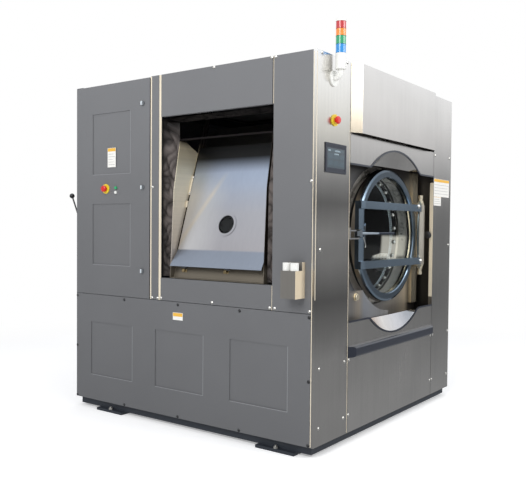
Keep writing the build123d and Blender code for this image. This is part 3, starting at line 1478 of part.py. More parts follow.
curtain_outer = (front_posts[0] + beam + slip_gap, front_posts[1] - slip_gap)
with BuildPart() as hygiene_curtain:
    pleated(curtain_outer[0] + band_side, chute_left - chute_wall - slip_gap)
    pleated(curtain_outer[1] - band_side, chute_right + chute_wall + slip_gap)
    for band_left, band_right in ((curtain_outer[0], curtain_outer[0] + 2 * band_side),
                                  (curtain_outer[1] - 2 * band_side, curtain_outer[1])):
        block(plan, band_left, band_right, frame_inset + seat_gap, frame_inset + seat_gap + 2 * curtain_thick,
              curtain_low, curtain_high + band_side)
    block(plan, *curtain_outer, frame_inset + seat_gap, frame_inset + seat_gap + 2 * curtain_thick,
          curtain_high, curtain_high + band_side)
save(hygiene_curtain, "hygiene_curtain")
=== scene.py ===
from math import cos, pi, radians, sin

import bpy
import numpy as np
from mathutils import Matrix, Vector


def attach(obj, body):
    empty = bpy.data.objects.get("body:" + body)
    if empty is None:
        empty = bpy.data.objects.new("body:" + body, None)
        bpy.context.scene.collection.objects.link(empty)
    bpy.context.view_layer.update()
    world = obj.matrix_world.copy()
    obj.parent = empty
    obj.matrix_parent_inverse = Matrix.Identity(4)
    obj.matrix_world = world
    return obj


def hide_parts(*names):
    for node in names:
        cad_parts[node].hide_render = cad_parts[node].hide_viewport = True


bl_info = {
    "name": "Barrier washer",
    "version": (1, 0, 0),
    "blender": (4, 2, 0),
    "location": "View3D > Sidebar > Washer",
    "description": "Finishes, small fittings, curtain and studio of a barrier washer",
    "category": "Object",
}
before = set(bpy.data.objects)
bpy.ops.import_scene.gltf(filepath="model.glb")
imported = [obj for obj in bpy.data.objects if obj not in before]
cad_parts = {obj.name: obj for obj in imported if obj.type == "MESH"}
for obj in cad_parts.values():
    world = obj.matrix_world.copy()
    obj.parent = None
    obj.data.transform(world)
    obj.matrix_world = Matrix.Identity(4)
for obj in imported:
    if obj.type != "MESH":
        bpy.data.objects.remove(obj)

# The casing's corner in the row frame and its size, all in metres
CORNER = np.array((-0.89, -0.8895, 0.06))
WIDTH, DEPTH = 1.826, 1.786
X, Y, Z = np.eye(3)
# Far wall of the round door's recess, the fold of the far column, and the foot of the sloped apron
RECESS_FAR, COLUMN_FOLD = 1.5, 1.483
APRON_FOOT = 0.06 * Y + 0.98 * Z
TILT = radians(17.5)
# Each face: origin, the way across it, the way up it, and the way out of it
FACES = {
    "front": (CORNER, X, Z, -Y),
    "side": (CORNER + WIDTH * X, Y, Z, X),
    "rear": (CORNER + WIDTH * X + DEPTH * Y, -X, Z, Y),
    "left": (CORNER + DEPTH * Y, -Y, Z, -X),
    "foot": (CORNER, X, Y, Z),
    "far_wall": (CORNER + WIDTH * X + RECESS_FAR * Y, X, Z, -Y),
    "column_edge": (CORNER + WIDTH * X + COLUMN_FOLD * Y, X, Z, -Y),
    "slope": (CORNER + APRON_FOOT, X, sin(TILT) * Y + cos(TILT) * Z, sin(TILT) * Z - cos(TILT) * Y),
}


def length(name, default, note):
    """Size that a user can change, in metres."""
    return bpy.props.FloatProperty(
        name=name, default=default, description=note, min=0.0, subtype="DISTANCE", unit="LENGTH",
        precision=4,
    )


def colour(name, default, note):
    """Colour that a user can change."""
    return bpy.props.FloatVectorProperty(
        name=name, default=(*default, 1.0), description=note, size=4, min=0.0, max=1.0, subtype="COLOR",
    )


class WasherLooks(bpy.types.PropertyGroup):
    paint: colour("Paint", (0.135, 0.137, 0.143), "Powder coat of the loading side")
    frame_coat: colour("Frame paint", (0.018, 0.022, 0.03), "Paint of the base and the frame")
    steel: colour("Stainless", (0.5, 0.48, 0.455), "Brushed casing steel")
    bright: colour("Polished steel", (0.25, 0.325, 0.4), "Steel of the round door")
    drum: colour("Drum steel", (0.72, 0.72, 0.7), "Steel of the drum")
    trim: colour("Trim", (0.009, 0.012, 0.022), "Edge trims and bumper rail")
    cloth: colour("Cloth", (0.034, 0.029, 0.027), "Coated cloth of the curtain")
    # The seam tone stands partly for a painted highlight of lit sheet edges
    seam: colour("Seam strips", (0.72, 0.64, 0.5), "Pale sheet edges in the seams")
    plate: colour("Plates", (0.78, 0.77, 0.73), "Blank plates")
    band: colour("Plate bands", (0.75, 0.42, 0.05), "Coloured band of the blank plates")
    page: colour("Screen page", (0.015, 0.032, 0.044), "Lit page of the touch screen")
    screw_radius: length("Screw radius", 0.0075, "Radius of the panel screws' heads")
    screw_rise: length("Screw height", 0.0035, "Height of the panel screws' heads")
    bolt_radius: length("Anchor bolt radius", 0.012, "Half width of the floor anchors' nuts")
    pleat: length("Pleat depth", 0.011, "How far the curtain's folds stand out")
    seam_recess: length("Seam recess", 0.002, "How far the seam strips lie behind the panels")
    key_light: bpy.props.FloatProperty(
        name="Key light", default=62.0, description="Power of the main lamp", min=0.0,
    )


def looks():
    """Sizes and colours as the panel has them."""
    return bpy.context.scene.washer_looks


def finished(name):
    """Finish of that name: its prefix keeps it apart from the materials that come with the frame."""
    return bpy.data.materials[f"looks_{name}"]


# Meshes


def put(face, places, points):
    """Copies of one set of points (across, up, out) on a face, one for each place (across, up)."""
    origin, across, up, out = FACES[face]
    places = np.asarray(places, float).reshape(-1, 2)
    start = origin + places[:, :1] * across + places[:, 1:2] * up
    local = points[:, :1] * across + points[:, 1:2] * up + points[:, 2:3] * out
    return (start[:, None, :] + local[None, :, :]).reshape(-1, 3)


def repeated(faces, count, size):
    """Face lists of several copies of one mesh, each with its own points."""
    return [tuple(f + size * k for f in face) for k in range(count) for face in faces]


def band_faces(low, high, segments):
    """Four-cornered faces between two rings of points whose first points have the numbers low and high."""
    step = np.arange(segments)
    after = (step + 1) % segments
    return np.column_stack([low + step, low + after, high + after, high + step]).tolist()


def lathe(profile, segments):
    """Surface turned about the third axis: each profile pair is a radius and a height, and a radius of
    nought closes the surface in a pole made of one point."""
    profile = np.asarray(profile, float)
    angle = np.arange(segments) * 2 * pi / segments
    ring = np.stack([np.cos(angle), np.sin(angle)], 1)
    points, starts = [], []
    total = 0
    for radius, height in profile:
        starts.append((total, radius > 0))
        rows = np.array([[0, 0, height]])
        if radius > 0:
            rows = np.column_stack([ring * radius, np.full(segments, height)])
        points.append(rows)
        total += len(rows)
    faces = []
    step = np.arange(segments)
    after = (step + 1) % segments
    for (low, low_ring), (high, high_ring) in zip(starts[:-1], starts[1:]):
        if low_ring and high_ring:
            faces += band_faces(low, high, segments)
        elif low_ring:
            faces += np.column_stack([low + step, low + after, np.full(segments, high)]).tolist()
        else:
            faces += np.column_stack([np.full(segments, low), high + after, high + step]).tolist()
    return np.vstack(points), faces


BOX_FACES = [(0, 3, 2, 1), (4, 5, 6, 7), (0, 1, 5, 4), (1, 2, 6, 5), (2, 3, 7, 6), (3, 0, 4, 7)]
# Which of a box's six numbers make the place of each of its eight corners
BOX_CORNERS = [[a, b, depth] for depth in (4, 5) for a, b in ((0, 2), (1, 2), (1, 3), (0, 3))]


def boxes(face, spans):
    """Boxes on a face, each from its left, right, low, high, back and front."""
    spans = np.asarray(spans, float)
    points = np.stack([spans[:, corner] for corner in BOX_CORNERS], 1).reshape(-1, 3)
    return put(face, [(0, 0)], points), repeated(BOX_FACES, len(spans), len(BOX_CORNERS))


def tube(path, radius, segments=10):
    """Round rod along a path: rings square to the path's direction, closed at both ends."""
    path = np.asarray(path, float)
    along = np.gradient(path, axis=0)
    along /= np.linalg.norm(along, axis=1, keepdims=True)
    aside = np.cross(along, X + 0.3 * Z)
    aside /= np.linalg.norm(aside, axis=1, keepdims=True)
    above = np.cross(along, aside)
    angle = np.arange(segments) * 2 * pi / segments
    spread = np.cos(angle)[:, None] * aside[:, None] + np.sin(angle)[:, None] * above[:, None]
    rings = path[:, None] + radius * spread
    faces = []
    for start in range(0, (len(path) - 1) * segments, segments):
        faces += band_faces(start, start + segments, segments)
    step = np.arange(segments)
    faces.append(step[::-1].tolist())
    faces.append(((len(path) - 1) * segments + step).tolist())
    return rings.reshape(-1, 3), faces


def moved(shape, shift):
    """Shape of (points, faces) moved by a vector."""
    points, faces = shape
    return points + np.asarray(shift), faces


def joined(*shapes):
    """Several shapes of (points, faces) as one."""
    points, faces, start = [], [], 0
    for rows, lists in shapes:
        points.append(np.asarray(rows, float))
        faces += [tuple(i + start for i in face) for face in lists]
        start += len(rows)
    return np.vstack(points), faces


def copies(face, places, template):
    """Copies of one turned or boxed template at several places of a face."""
    points, faces = template
    places = np.asarray(places, float).reshape(-1, 2)
    return put(face, places, points), repeated(faces, len(places), len(points))


def piece(name, shape, material, body="cabinet", smooth=False, bevel=0.0):
    """One finished object from (points, faces), riding a body."""
    points, faces = shape
    mesh = bpy.data.meshes.new(name)
    mesh.from_pydata(np.asarray(points, float).tolist(), [], [tuple(int(i) for i in f) for f in faces])
    mesh.validate()
    mesh.update()
    mesh.polygons.foreach_set("use_smooth", [smooth] * len(mesh.polygons))
    mesh.materials.append(finished(material))
    made = bpy.data.objects.new(name, mesh)
    bpy.context.scene.collection.objects.link(made)
    if bevel:
        rounder = made.modifiers.new("edges", "BEVEL")
        rounder.width = bevel
        rounder.segments = 2
        rounder.limit_method = "ANGLE"
    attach(made, body)
    return made


# Materials


def group(name, inputs, outputs):
    """Empty node group with its sockets, and its two end nodes."""
    made = bpy.data.node_groups.new(name, "ShaderNodeTree")
    for label, kind, value in inputs:
        made.interface.new_socket(label, in_out="INPUT", socket_type=kind).default_value = value
    for label, kind in outputs:
        made.interface.new_socket(label, in_out="OUTPUT", socket_type=kind)
    return made, made.nodes.new("NodeGroupInput"), made.nodes.new("NodeGroupOutput")


def set_values(node, values):
    """Gives inputs of a node their plain values."""
    for label, value in values.items():
        node.inputs[label].default_value = value


def placed(tree, name, values):
    """Adds one of the groups below to a material, with its own values."""
    node = tree.nodes.new("ShaderNodeGroup")
    node.node_tree = bpy.data.node_groups[name]
    set_values(node, values)
    return node


def maths(tree, kind, *values):
    """Adds a Math node, fed by plain numbers or by other nodes, and gives its result."""
    node = tree.nodes.new("ShaderNodeMath")
    node.operation = kind
    for socket, value in zip(node.inputs, values):
        if isinstance(value, float):
            socket.default_value = value
        else:
            tree.links.new(value, socket)
    return node.outputs[0]


def vector_maths(tree, kind, *values):
    """Adds a Vector Math node fed by other nodes."""
    node = tree.nodes.new("ShaderNodeVectorMath")
    node.operation = kind
    for socket, value in zip(node.inputs, values):
        tree.links.new(value, socket)
    return node


def mapped(tree, value, low, high):
    """Adds a Map Range node that turns nought to one into low to high, and gives its result."""
    node = tree.nodes.new("ShaderNodeMapRange")
    set_values(node, {"To Min": low, "To Max": high})
    tree.links.new(value, node.inputs["Value"])
    return node.outputs[0]


def own_place(tree):
    """The object's own coordinates."""
    return tree.nodes.new("ShaderNodeTexCoord").outputs["Object"]


def split_place(tree, place):
    """The three parts of a vector."""
    node = tree.nodes.new("ShaderNodeSeparateXYZ")
    tree.links.new(place, node.inputs[0])
    return node.outputs


def slant(tree, one, two):
    """Distance made of two that are square to each other: the root of the sum of their squares."""
    squares = (maths(tree, "MULTIPLY", value, value) for value in (one, two))
    return maths(tree, "SQRT", maths(tree, "ADD", *squares))


def grain_group():
    """Streaks or grain: noise of the object's own coordinates, stretched by a vector, and soft clouds."""
    made, start, end = group(
        "washer_grain",
        [("Stretch", "NodeSocketVector", (1, 1, 1)), ("Scale", "NodeSocketFloat", 20.0)],
        [("Streak", "NodeSocketFloat"), ("Cloud", "NodeSocketFloat")],
    )
    link = made.links.new
    place = own_place(made)
    stretched = vector_maths(made, "MULTIPLY", place, start.outputs["Stretch"])
    streak = made.nodes.new("ShaderNodeTexNoise")
    set_values(streak, {"Detail": 5.0})
    link(stretched.outputs[0], streak.inputs["Vector"])
    link(start.outputs["Scale"], streak.inputs["Scale"])
    cloud = made.nodes.new("ShaderNodeTexNoise")
    set_values(cloud, {"Scale": 2.3, "Detail": 2.0})
    link(place, cloud.inputs["Vector"])
    link(streak.outputs["Fac"], end.inputs["Streak"])
    link(cloud.outputs["Fac"], end.inputs["Cloud"])


def tint_group():
    """Colour made lighter or darker by two values round one half, each with its own share."""
    made, start, end = group(
        "washer_tint",
        [
            ("Colour", "NodeSocketColor", (0.5, 0.5, 0.5, 1)),
            ("Streak", "NodeSocketFloat", 0.5),
            ("Cloud", "NodeSocketFloat", 0.5),
            ("Streak share", "NodeSocketFloat", 0.2),
            ("Cloud share", "NodeSocketFloat", 0.2),
        ],
        [("Colour", "NodeSocketColor"), ("Wear", "NodeSocketFloat")],
    )
    parts = []
    for name in ("Streak", "Cloud"):
        swing = maths(made, "SUBTRACT", start.outputs[name], 0.5)
        parts.append(maths(made, "MULTIPLY", swing, start.outputs[f"{name} share"]))
    change = maths(made, "ADD", *parts)
    tinted = vector_maths(made, "SCALE", start.outputs["Colour"])
    made.links.new(maths(made, "ADD", change, 1.0), tinted.inputs["Scale"])
    made.links.new(tinted.outputs[0], end.inputs["Colour"])
    made.links.new(maths(made, "ADD", change, 0.5), end.inputs["Wear"])


def reach_group():
    """Value that rises from nought to one between two distances along a direction of the object's own
    coordinates."""
    made, start, end = group(
        "washer_reach",
        [("Along", "NodeSocketVector", (0, 0, 1)), ("Low", "NodeSocketFloat", 0.0),
         ("High", "NodeSocketFloat", 2.0)],
        [("Value", "NodeSocketFloat")],
    )
    link = made.links.new
    along = vector_maths(made, "DOT_PRODUCT", own_place(made), start.outputs["Along"])
    rise = made.nodes.new("ShaderNodeMapRange")
    link(along.outputs["Value"], rise.inputs["Value"])
    link(start.outputs["Low"], rise.inputs["From Min"])
    link(start.outputs["High"], rise.inputs["From Max"])
    link(rise.outputs[0], end.inputs["Value"])


# The drum's axis runs along X at this Y and Z; its wall has this radius, and its ends stand at these X
DRUM_Y, DRUM_Z = 0.0325, 1.13
DRUM_RADIUS = 0.65
DRUM_BACK, DRUM_MOUTH = -0.225, 0.75


def about_drum(tree):
    """Place along the drum's axis, and how far across and above the axis it lies."""
    along, across, above = split_place(tree, own_place(tree))
    return along, maths(tree, "SUBTRACT", across, DRUM_Y), maths(tree, "SUBTRACT", above, DRUM_Z)


def holes_group():
    """Round holes in rows round the drum's axis: one inside a hole, nought outside, from the fractional
    places along the axis and round it."""
    made, start, end = group(
        "washer_holes",
        [("Pitch", "NodeSocketFloat", 0.02), ("Radius", "NodeSocketFloat", 0.3)],
        [("Value", "NodeSocketFloat")],
    )
    along, across, above = about_drum(made)
    turn = maths(made, "MULTIPLY", maths(made, "ARCTAN2", above, across), DRUM_RADIUS)
    inside = []
    for value in (along, turn):
        cell = maths(made, "DIVIDE", value, start.outputs["Pitch"])
        inside.append(maths(made, "SUBTRACT", maths(made, "FRACT", cell), 0.5))
    hole = maths(made, "LESS_THAN", slant(made, *inside), start.outputs["Radius"])
    made.links.new(hole, end.inputs["Value"])


def lifter_group():
    """One where the drum's lifters stand, between its ends and inside its wall, and nought elsewhere."""
    made, start, end = group(
        "washer_lifters",
        [("Radius", "NodeSocketFloat", 0.64), ("Low", "NodeSocketFloat", -0.2),
         ("High", "NodeSocketFloat", 0.7)],
        [("Value", "NodeSocketFloat")],
    )
    along, across, above = about_drum(made)
    inside = maths(made, "LESS_THAN", slant(made, across, above), start.outputs["Radius"])
    after = maths(made, "GREATER_THAN", along, start.outputs["Low"])
    before = maths(made, "LESS_THAN", along, start.outputs["High"])
    lifter = maths(made, "MULTIPLY", maths(made, "MULTIPLY", inside, after), before)
    made.links.new(lifter, end.inputs["Value"])


def patch_group():
    """Value that is one inside a box of the object's own coordinates and fades to nought at its faces."""
    made, start, end = group(
        "washer_patch",
        [("Middle", "NodeSocketVector", (0, 0, 0)), ("Half", "NodeSocketVector", (1, 1, 1)),
         ("Soft", "NodeSocketFloat", 0.02)],
        [("Value", "NodeSocketFloat")],
    )
    link = made.links.new
    offset = vector_maths(made, "SUBTRACT", own_place(made), start.outputs["Middle"])
    away = vector_maths(made, "ABSOLUTE", offset.outputs[0])
    room = vector_maths(made, "SUBTRACT", start.outputs["Half"], away.outputs[0])
    shares = []
    for axis in split_place(made, room.outputs[0]):
        part = made.nodes.new("ShaderNodeMapRange")
        link(axis, part.inputs["Value"])
        link(start.outputs["Soft"], part.inputs["From Max"])
        shares.append(part.outputs[0])
    flat = maths(made, "MULTIPLY", shares[0], shares[1])
    link(maths(made, "MULTIPLY", flat, shares[2]), end.inputs["Value"])


def opaque(tone):
    """Tone as a colour with its fourth value."""
    return tuple(tone)[:3] + (1.0,)


def scaled(tone, share):
    """Tone made lighter or darker by a share."""
    return [share * value for value in tuple(tone)[:3]]


def shares_of(tone, stops):
    """Stops of a place and a tone, from stops of a place and a share of one tone."""
    return [(place, scaled(tone, share)) for place, share in stops]


def new_material(name):
    """New material with its node tree and its shader."""
    made = bpy.data.materials.new(name)
    made.use_nodes = True
    return made, made.node_tree, made.node_tree.nodes["Principled BSDF"]


# How the grain is stretched: not at all, as upright brushing, or as level brushing
EVEN, UPRIGHT, LEVEL = (1, 1, 1), (60, 60, 1.2), (1.2, 1.2, 60)
LOWEST_ROUGHNESS = 0.02
RELIEF = 0.001


def finish(name, tone, roughness, metallic=0.0, stretch=EVEN, scale=30.0, streak=0.2, cloud=0.2,
           spread=0.15, bump=0.1, coat=0.0, glow=0.0):
    """Material: a tone varied by streaks and clouds, roughness that follows the wear, and a fine relief."""
    made, tree, shader = new_material(f"looks_{name}")
    link = tree.links.new
    set_values(shader, {"Metallic": metallic, "Coat Weight": coat})
    grain = placed(tree, "washer_grain", {"Stretch": stretch, "Scale": scale})
    tint = placed(tree, "washer_tint", {"Colour": opaque(tone), "Streak share": streak, "Cloud share": cloud})
    link(grain.outputs["Streak"], tint.inputs["Streak"])
    link(grain.outputs["Cloud"], tint.inputs["Cloud"])
    link(tint.outputs["Colour"], shader.inputs["Base Color"])
    smooth, rough = max(roughness - spread, LOWEST_ROUGHNESS), min(roughness + spread, 1.0)
    link(mapped(tree, tint.outputs["Wear"], smooth, rough), shader.inputs["Roughness"])
    relief = tree.nodes.new("ShaderNodeBump")
    set_values(relief, {"Strength": bump, "Distance": RELIEF})
    link(grain.outputs["Streak"], relief.inputs["Height"])
    link(relief.outputs[0], shader.inputs["Normal"])
    if glow:
        set_values(shader, {"Emission Strength": glow})
        link(tint.outputs["Colour"], shader.inputs["Emission Color"])
    return made


def own_tone(material):
    """Socket that a finish's tone comes in by."""
    nodes = material.node_tree.nodes
    return next(n for n in nodes if n.type == "GROUP" and n.node_tree.name == "washer_tint").inputs["Colour"]


def graded(tree, value, stops, kind="LINEAR"):
    """Adds a colour ramp of stops, each a share and a tone, and gives its colour."""
    ramp = tree.nodes.new("ShaderNodeValToRGB")
    ramp.color_ramp.interpolation = kind
    while len(ramp.color_ramp.elements) < len(stops):
        ramp.color_ramp.elements.new(0.5)
    for element, (share, tone) in zip(ramp.color_ramp.elements, stops):
        element.position = share
        element.color = opaque(tone)
    tree.links.new(value, ramp.inputs["Fac"])
    return ramp.outputs["Color"]


def shade_along(material, stops, kind="LINEAR", along=Z):
    """Tone of a material that follows its place along a direction: stops are pairs of a place and a tone."""
    tree = material.node_tree
    first, last = stops[0][0], stops[-1][0]
    rise = placed(tree, "washer_reach", {"Along": along, "Low": first, "High": last})
    shares = [((place - first) / (last - first), tone) for place, tone in stops]
    tree.links.new(graded(tree, rise.outputs[0], shares, kind), own_tone(material))


def lay_over(material, share, tone):
    """Lays a tone over a material's own, by a share that another node gives."""
    link = material.node_tree.links.new
    under = own_tone(material)
    laid = material.node_tree.nodes.new("ShaderNodeMix")
    laid.data_type = "RGBA"
    laid.inputs["B"].default_value = opaque(tone)
    link(share, laid.inputs["Factor"])
    if under.links:
        link(under.links[0].from_socket, laid.inputs["A"])
    else:
        laid.inputs["A"].default_value = under.default_value
    link(laid.outputs["Result"], under)


def over(material, tone, low, high, along, band=False):
    """Lays a tone over a material's own: fully past the far one of two places along a direction, or, as a
    band, only round the middle between them."""
    tree = material.node_tree
    share = placed(tree, "washer_reach", {"Along": along, "Low": low, "High": high}).outputs[0]
    if band:
        share = maths(tree, "MULTIPLY", maths(tree, "PINGPONG", share, 0.5), 2.0)
    lay_over(material, share, tone)


def glint(material, tone, strength, middle, half, soft):
    """Painted glint: light caught by one patch of a material, painted as a glowing tone that shows only
    inside a soft box.
    """
    tree = material.node_tree
    shader = tree.nodes["Principled BSDF"]
    patch = placed(tree, "washer_patch", {"Middle": middle, "Half": half, "Soft": soft})
    lit = vector_maths(tree, "SCALE")
    lit.inputs[0].default_value = tone
    tree.links.new(patch.outputs[0], lit.inputs["Scale"])
    set_values(shader, {"Emission Strength": strength})
    tree.links.new(lit.outputs[0], shader.inputs["Emission Color"])


def painted_crease_shade(cloth):
    """Painted shade of the cloth's creases: dark in its creases and lighter on its folds, after the mesh's
    own values.
    """
    tree = cloth.node_tree
    set_values(tree.nodes["Principled BSDF"], {"Specular IOR Level": 0.15})
    fold = tree.nodes.new("ShaderNodeAttribute")
    fold.attribute_name = "fold"
    under = own_tone(cloth)
    tone = vector_maths(tree, "SCALE", under.links[0].from_socket)
    tree.links.new(mapped(tree, fold.outputs["Fac"], 0.9, 4.6), tone.inputs["Scale"])
    tree.links.new(tone.outputs[0], under)


# Lowest place of each lens of the signal tower and its tone, then the highest place of the last one
LENSES = ((2.063, (0.0, 0.2, 0.52)), (2.108, (0.0, 0.25, 0.1)), (2.15, (0.75, 0.2, 0.01)),
          (2.186, (0.4, 0.01, 0.015)), (2.224, (0.4, 0.01, 0.015)))


def lens_material():
    """Four coloured lenses one above another, parted by height, a little lit."""
    made = finish("lenses", (0.5, 0.1, 0.05), 0.18, scale=160.0, streak=0.15, cloud=0.2, bump=0.15, coat=0.6,
                  glow=0.15)
    shade_along(made, LENSES, "CONSTANT")


# Painted light inside the drum, from its back to its mouth: share of the way, and share of its steel's tone
DRUM_LIGHT_SHARES = ((0.0, 0.02), (0.55, 0.025), (0.85, 0.12), (0.97, 0.3), (1.0, 0.7))
# Step from hole to hole, and a hole's radius as a share of it
HOLE_PITCH, HOLE_SHARE = 0.024, 0.2


def drum_material(tone):
    """Steel with painted light and shade inside the drum: painted shade towards the drum's back, painted
    highlights on its lifters, dark rows of holes on its round wall, nearly black painted shade behind its
    front part, and a painted glint of caught light in its mouth."""
    made = finish("drum_steel", tone, 0.25, 1.0, EVEN, 60.0, 0.12, 0.2, 0.1, 0.05)
    tree = made.node_tree
    run = DRUM_MOUTH - DRUM_BACK
    # Painted shade towards the drum's back
    shade_along(made, [(DRUM_BACK + way * run, scaled(tone, light)) for way, light in DRUM_LIGHT_SHARES],
                along=X)
    ends = {"Low": DRUM_BACK + 0.012, "High": DRUM_MOUTH - 0.01}
    lifters = placed(tree, "washer_lifters", ends).outputs[0]
    # Painted highlights on the lifters
    lay_over(made, lifters, (0.8, 0.9, 0.95))
    tree.links.new(mapped(tree, lifters, 1.0, 0.2), tree.nodes["Principled BSDF"].inputs["Metallic"])
    holes = placed(tree, "washer_holes", {"Pitch": HOLE_PITCH, "Radius": HOLE_SHARE})
    lay_over(made, holes.outputs[0], (0.01, 0.01, 0.012))
    # Painted shade: nearly black behind the drum's front part
    over(made, scaled(tone, 0.02), -0.52, -0.5, -X)
    # Painted glint: a glowing patch of caught light in the drum's mouth
    glint(made, (1.0, 0.95, 0.84), 0.42, (0.645, 0.6, 1.045), (0.14, 0.3, 0.085), 0.018)


def glass_material(name, bend):
    """Clear glass with faint smears in its roughness, and an index that sets how much it mirrors."""
    made, tree, shader = new_material(f"looks_{name}")
    set_values(shader, {"Base Color": (0.9, 0.94, 0.94, 1), "Metallic": 0.0, "Transmission Weight": 1.0,
                        "IOR": bend})
    grain = placed(tree, "washer_grain", {"Scale": 6.0})
    tree.links.new(mapped(tree, grain.outputs["Cloud"], 0.0, 0.04), shader.inputs["Roughness"])


# Painted light on the stainless towards the casing's top, as the roof's edge lights it: height and tone
TOP_STEEL = ((1.8, (0.53, 0.5, 0.47)), (1.95, (0.56, 0.535, 0.505)), (2.1, (0.62, 0.595, 0.57)))
HOOD_FOOT = 1.75


def paint_finish(look):
    """Grey powder coat with painted shade: a little darker towards the floor."""
    paint = finish("paint", look.paint, 0.5, 0.0, EVEN, 700.0, 0.1, 0.14, 0.08, 0.12, 0.12)
    # Painted shade: the coat darkens towards the floor
    shade_along(paint, shares_of(look.paint, ((0.1, 0.82), (1.0, 0.95), (2.1, 1.08))))


def casing_steels(look):
    """Brushed steel of the casing, its hood, its near column and the dosing box. The casing's steel and the
    hood carry painted reflections that change with height, the hood's near end has painted shade, darker
    and warmer, the near column has painted bands of reflected light and shade, and the dosing box has a
    painted highlight on its outer face."""
    steel = finish("steel", look.steel, 0.24, 1.0, UPRIGHT, 1.0, 0.2, 0.3, 0.08, 0.05)
    # Painted reflections: the casing's steel is darker round its middle and brighter towards its top
    shade_along(steel, [*shares_of(look.steel, ((0.1, 1.0), (1.2, 0.85), (1.55, 0.93))), *TOP_STEEL])
    hood = finish("hood_steel", TOP_STEEL[1][1], 0.24, 1.0, UPRIGHT, 1.0, 0.1, 0.3, 0.08, 0.03)
    shade_along(hood, ((HOOD_FOOT, TOP_STEEL[0][1]), *TOP_STEEL[1:]))
    # Painted shade on the hood's near end: a darker, warmer tone on its bevelled face
    over(hood, (0.36, 0.315, 0.25), 0.474, 0.476, -Y)
    column = finish("column_steel", look.steel, 0.24, 1.0, UPRIGHT, 1.0, 0.14, 0.3, 0.08, 0.04)
    # Painted bands of reflected light and shade up the near column, brightest at its top
    shades = ((0.1, 0.85), (0.49, 1.0), (0.7, 0.7), (0.8, 0.5), (1.0, 1.05), (1.14, 1.1), (1.3, 0.45),
              (1.42, 0.6))
    shade_along(column, [*shares_of(look.steel, shades), (1.67, (0.56, 0.53, 0.47)),
                         (2.05, (0.74, 0.72, 0.69))])
    dosing = finish("dosing_steel", (0.17, 0.16, 0.145), 0.42, 0.3, UPRIGHT, 1.0, 0.2, 0.3, 0.08, 0.04)
    # Painted highlight: a pale warm tone on the dosing box's outer face
    over(dosing, (0.78, 0.66, 0.48), 0.8765, 0.8775, X)


def recess_steels(look):
    """Steel round the round door: the recess's walls, the lower panel's scoop and the tub's neck. The walls
    carry painted light and shade across them and painted shade towards the top, the scoop painted
    reflections on its lip, and the neck a painted glint.
    """
    recess = finish("recess_steel", look.steel, 0.36, 0.6, UPRIGHT, 1.0, 0.3, 0.5, 0.1, 0.05)
    # Painted light and shade across the recess: dim near walls, a painted warm highlight towards the far
    # side, and painted deep shade in the far corner
    shade_along(recess, ((-0.55, (0.15, 0.145, 0.14)), (-0.42, (0.18, 0.17, 0.16)),
                         (-0.34, (0.3, 0.26, 0.21)), (-0.28, (0.24, 0.25, 0.27)), (0.3, (0.28, 0.25, 0.21)),
                         (0.44, (0.5, 0.42, 0.31)), (0.5, (0.05, 0.043, 0.036)),
                         (0.62, (0.02, 0.018, 0.016))), along=Y)
    # Painted shade towards the recess's top
    over(recess, (0.06, 0.055, 0.052), 1.35, 1.5, Z)
    scoop = finish("scoop_steel", look.steel, 0.26, 1.0, UPRIGHT, 1.0, 0.2, 0.3, 0.08, 0.05)
    # Painted reflections across the scoop: warm and dark at its near end, bright in its middle
    shade_along(scoop, ((-0.27, (0.26, 0.18, 0.13)), (-0.19, (0.42, 0.35, 0.3)), (-0.08, (0.58, 0.55, 0.52)),
                        (0.08, (0.5, 0.49, 0.5)), (0.25, (0.3, 0.31, 0.33))), along=Y)
    # The scoop's face keeps the plain steel, so the painted reflections stay on its lip
    over(scoop, look.steel, 0.9345, 0.9352, X)
    neck = finish("neck_steel", (0.6, 0.57, 0.52), 0.3, 0.4, EVEN, 30.0, 0.5, 0.7, 0.15, 0.05)
    # Painted glint: a glowing patch of caught light on the tub's neck
    glint(neck, (1.0, 0.93, 0.78), 0.3, (0.79, 0.4, 1.06), (0.05, 0.1, 0.075), 0.02)


def chute_finish():
    """Steel of the loading chute with warm painted light on its walls, and painted shade beside the cloth,
    under its rim and behind its top.
    """
    chute = finish("chute_steel", (0.7, 0.62, 0.5), 0.42, 0.45, LEVEL, 1.0, 0.25, 0.5, 0.1, 0.05)
    # Painted light and shade up the chute: warm painted light on its walls, painted shade at its top
    shade_along(chute, ((0.9, (0.5, 0.44, 0.4)), (1.2, (0.62, 0.56, 0.47)), (1.5, (0.8, 0.73, 0.55)),
                        (1.62, (0.7, 0.61, 0.43)), (1.665, (0.004, 0.0036, 0.0032))), along=0.35 * X + Z)
    # Painted shade beside the cloth, under the rim and behind the top
    over(chute, (0.02, 0.016, 0.012), -0.0597, -0.059, X)
    over(chute, (0.16, 0.14, 0.11), -0.98, -0.93, -Z)
    over(chute, (0.012, 0.01, 0.01), 1.672, 1.68, Z)
    set_values(chute.node_tree.nodes["Principled BSDF"], {"Specular IOR Level": 0.08})


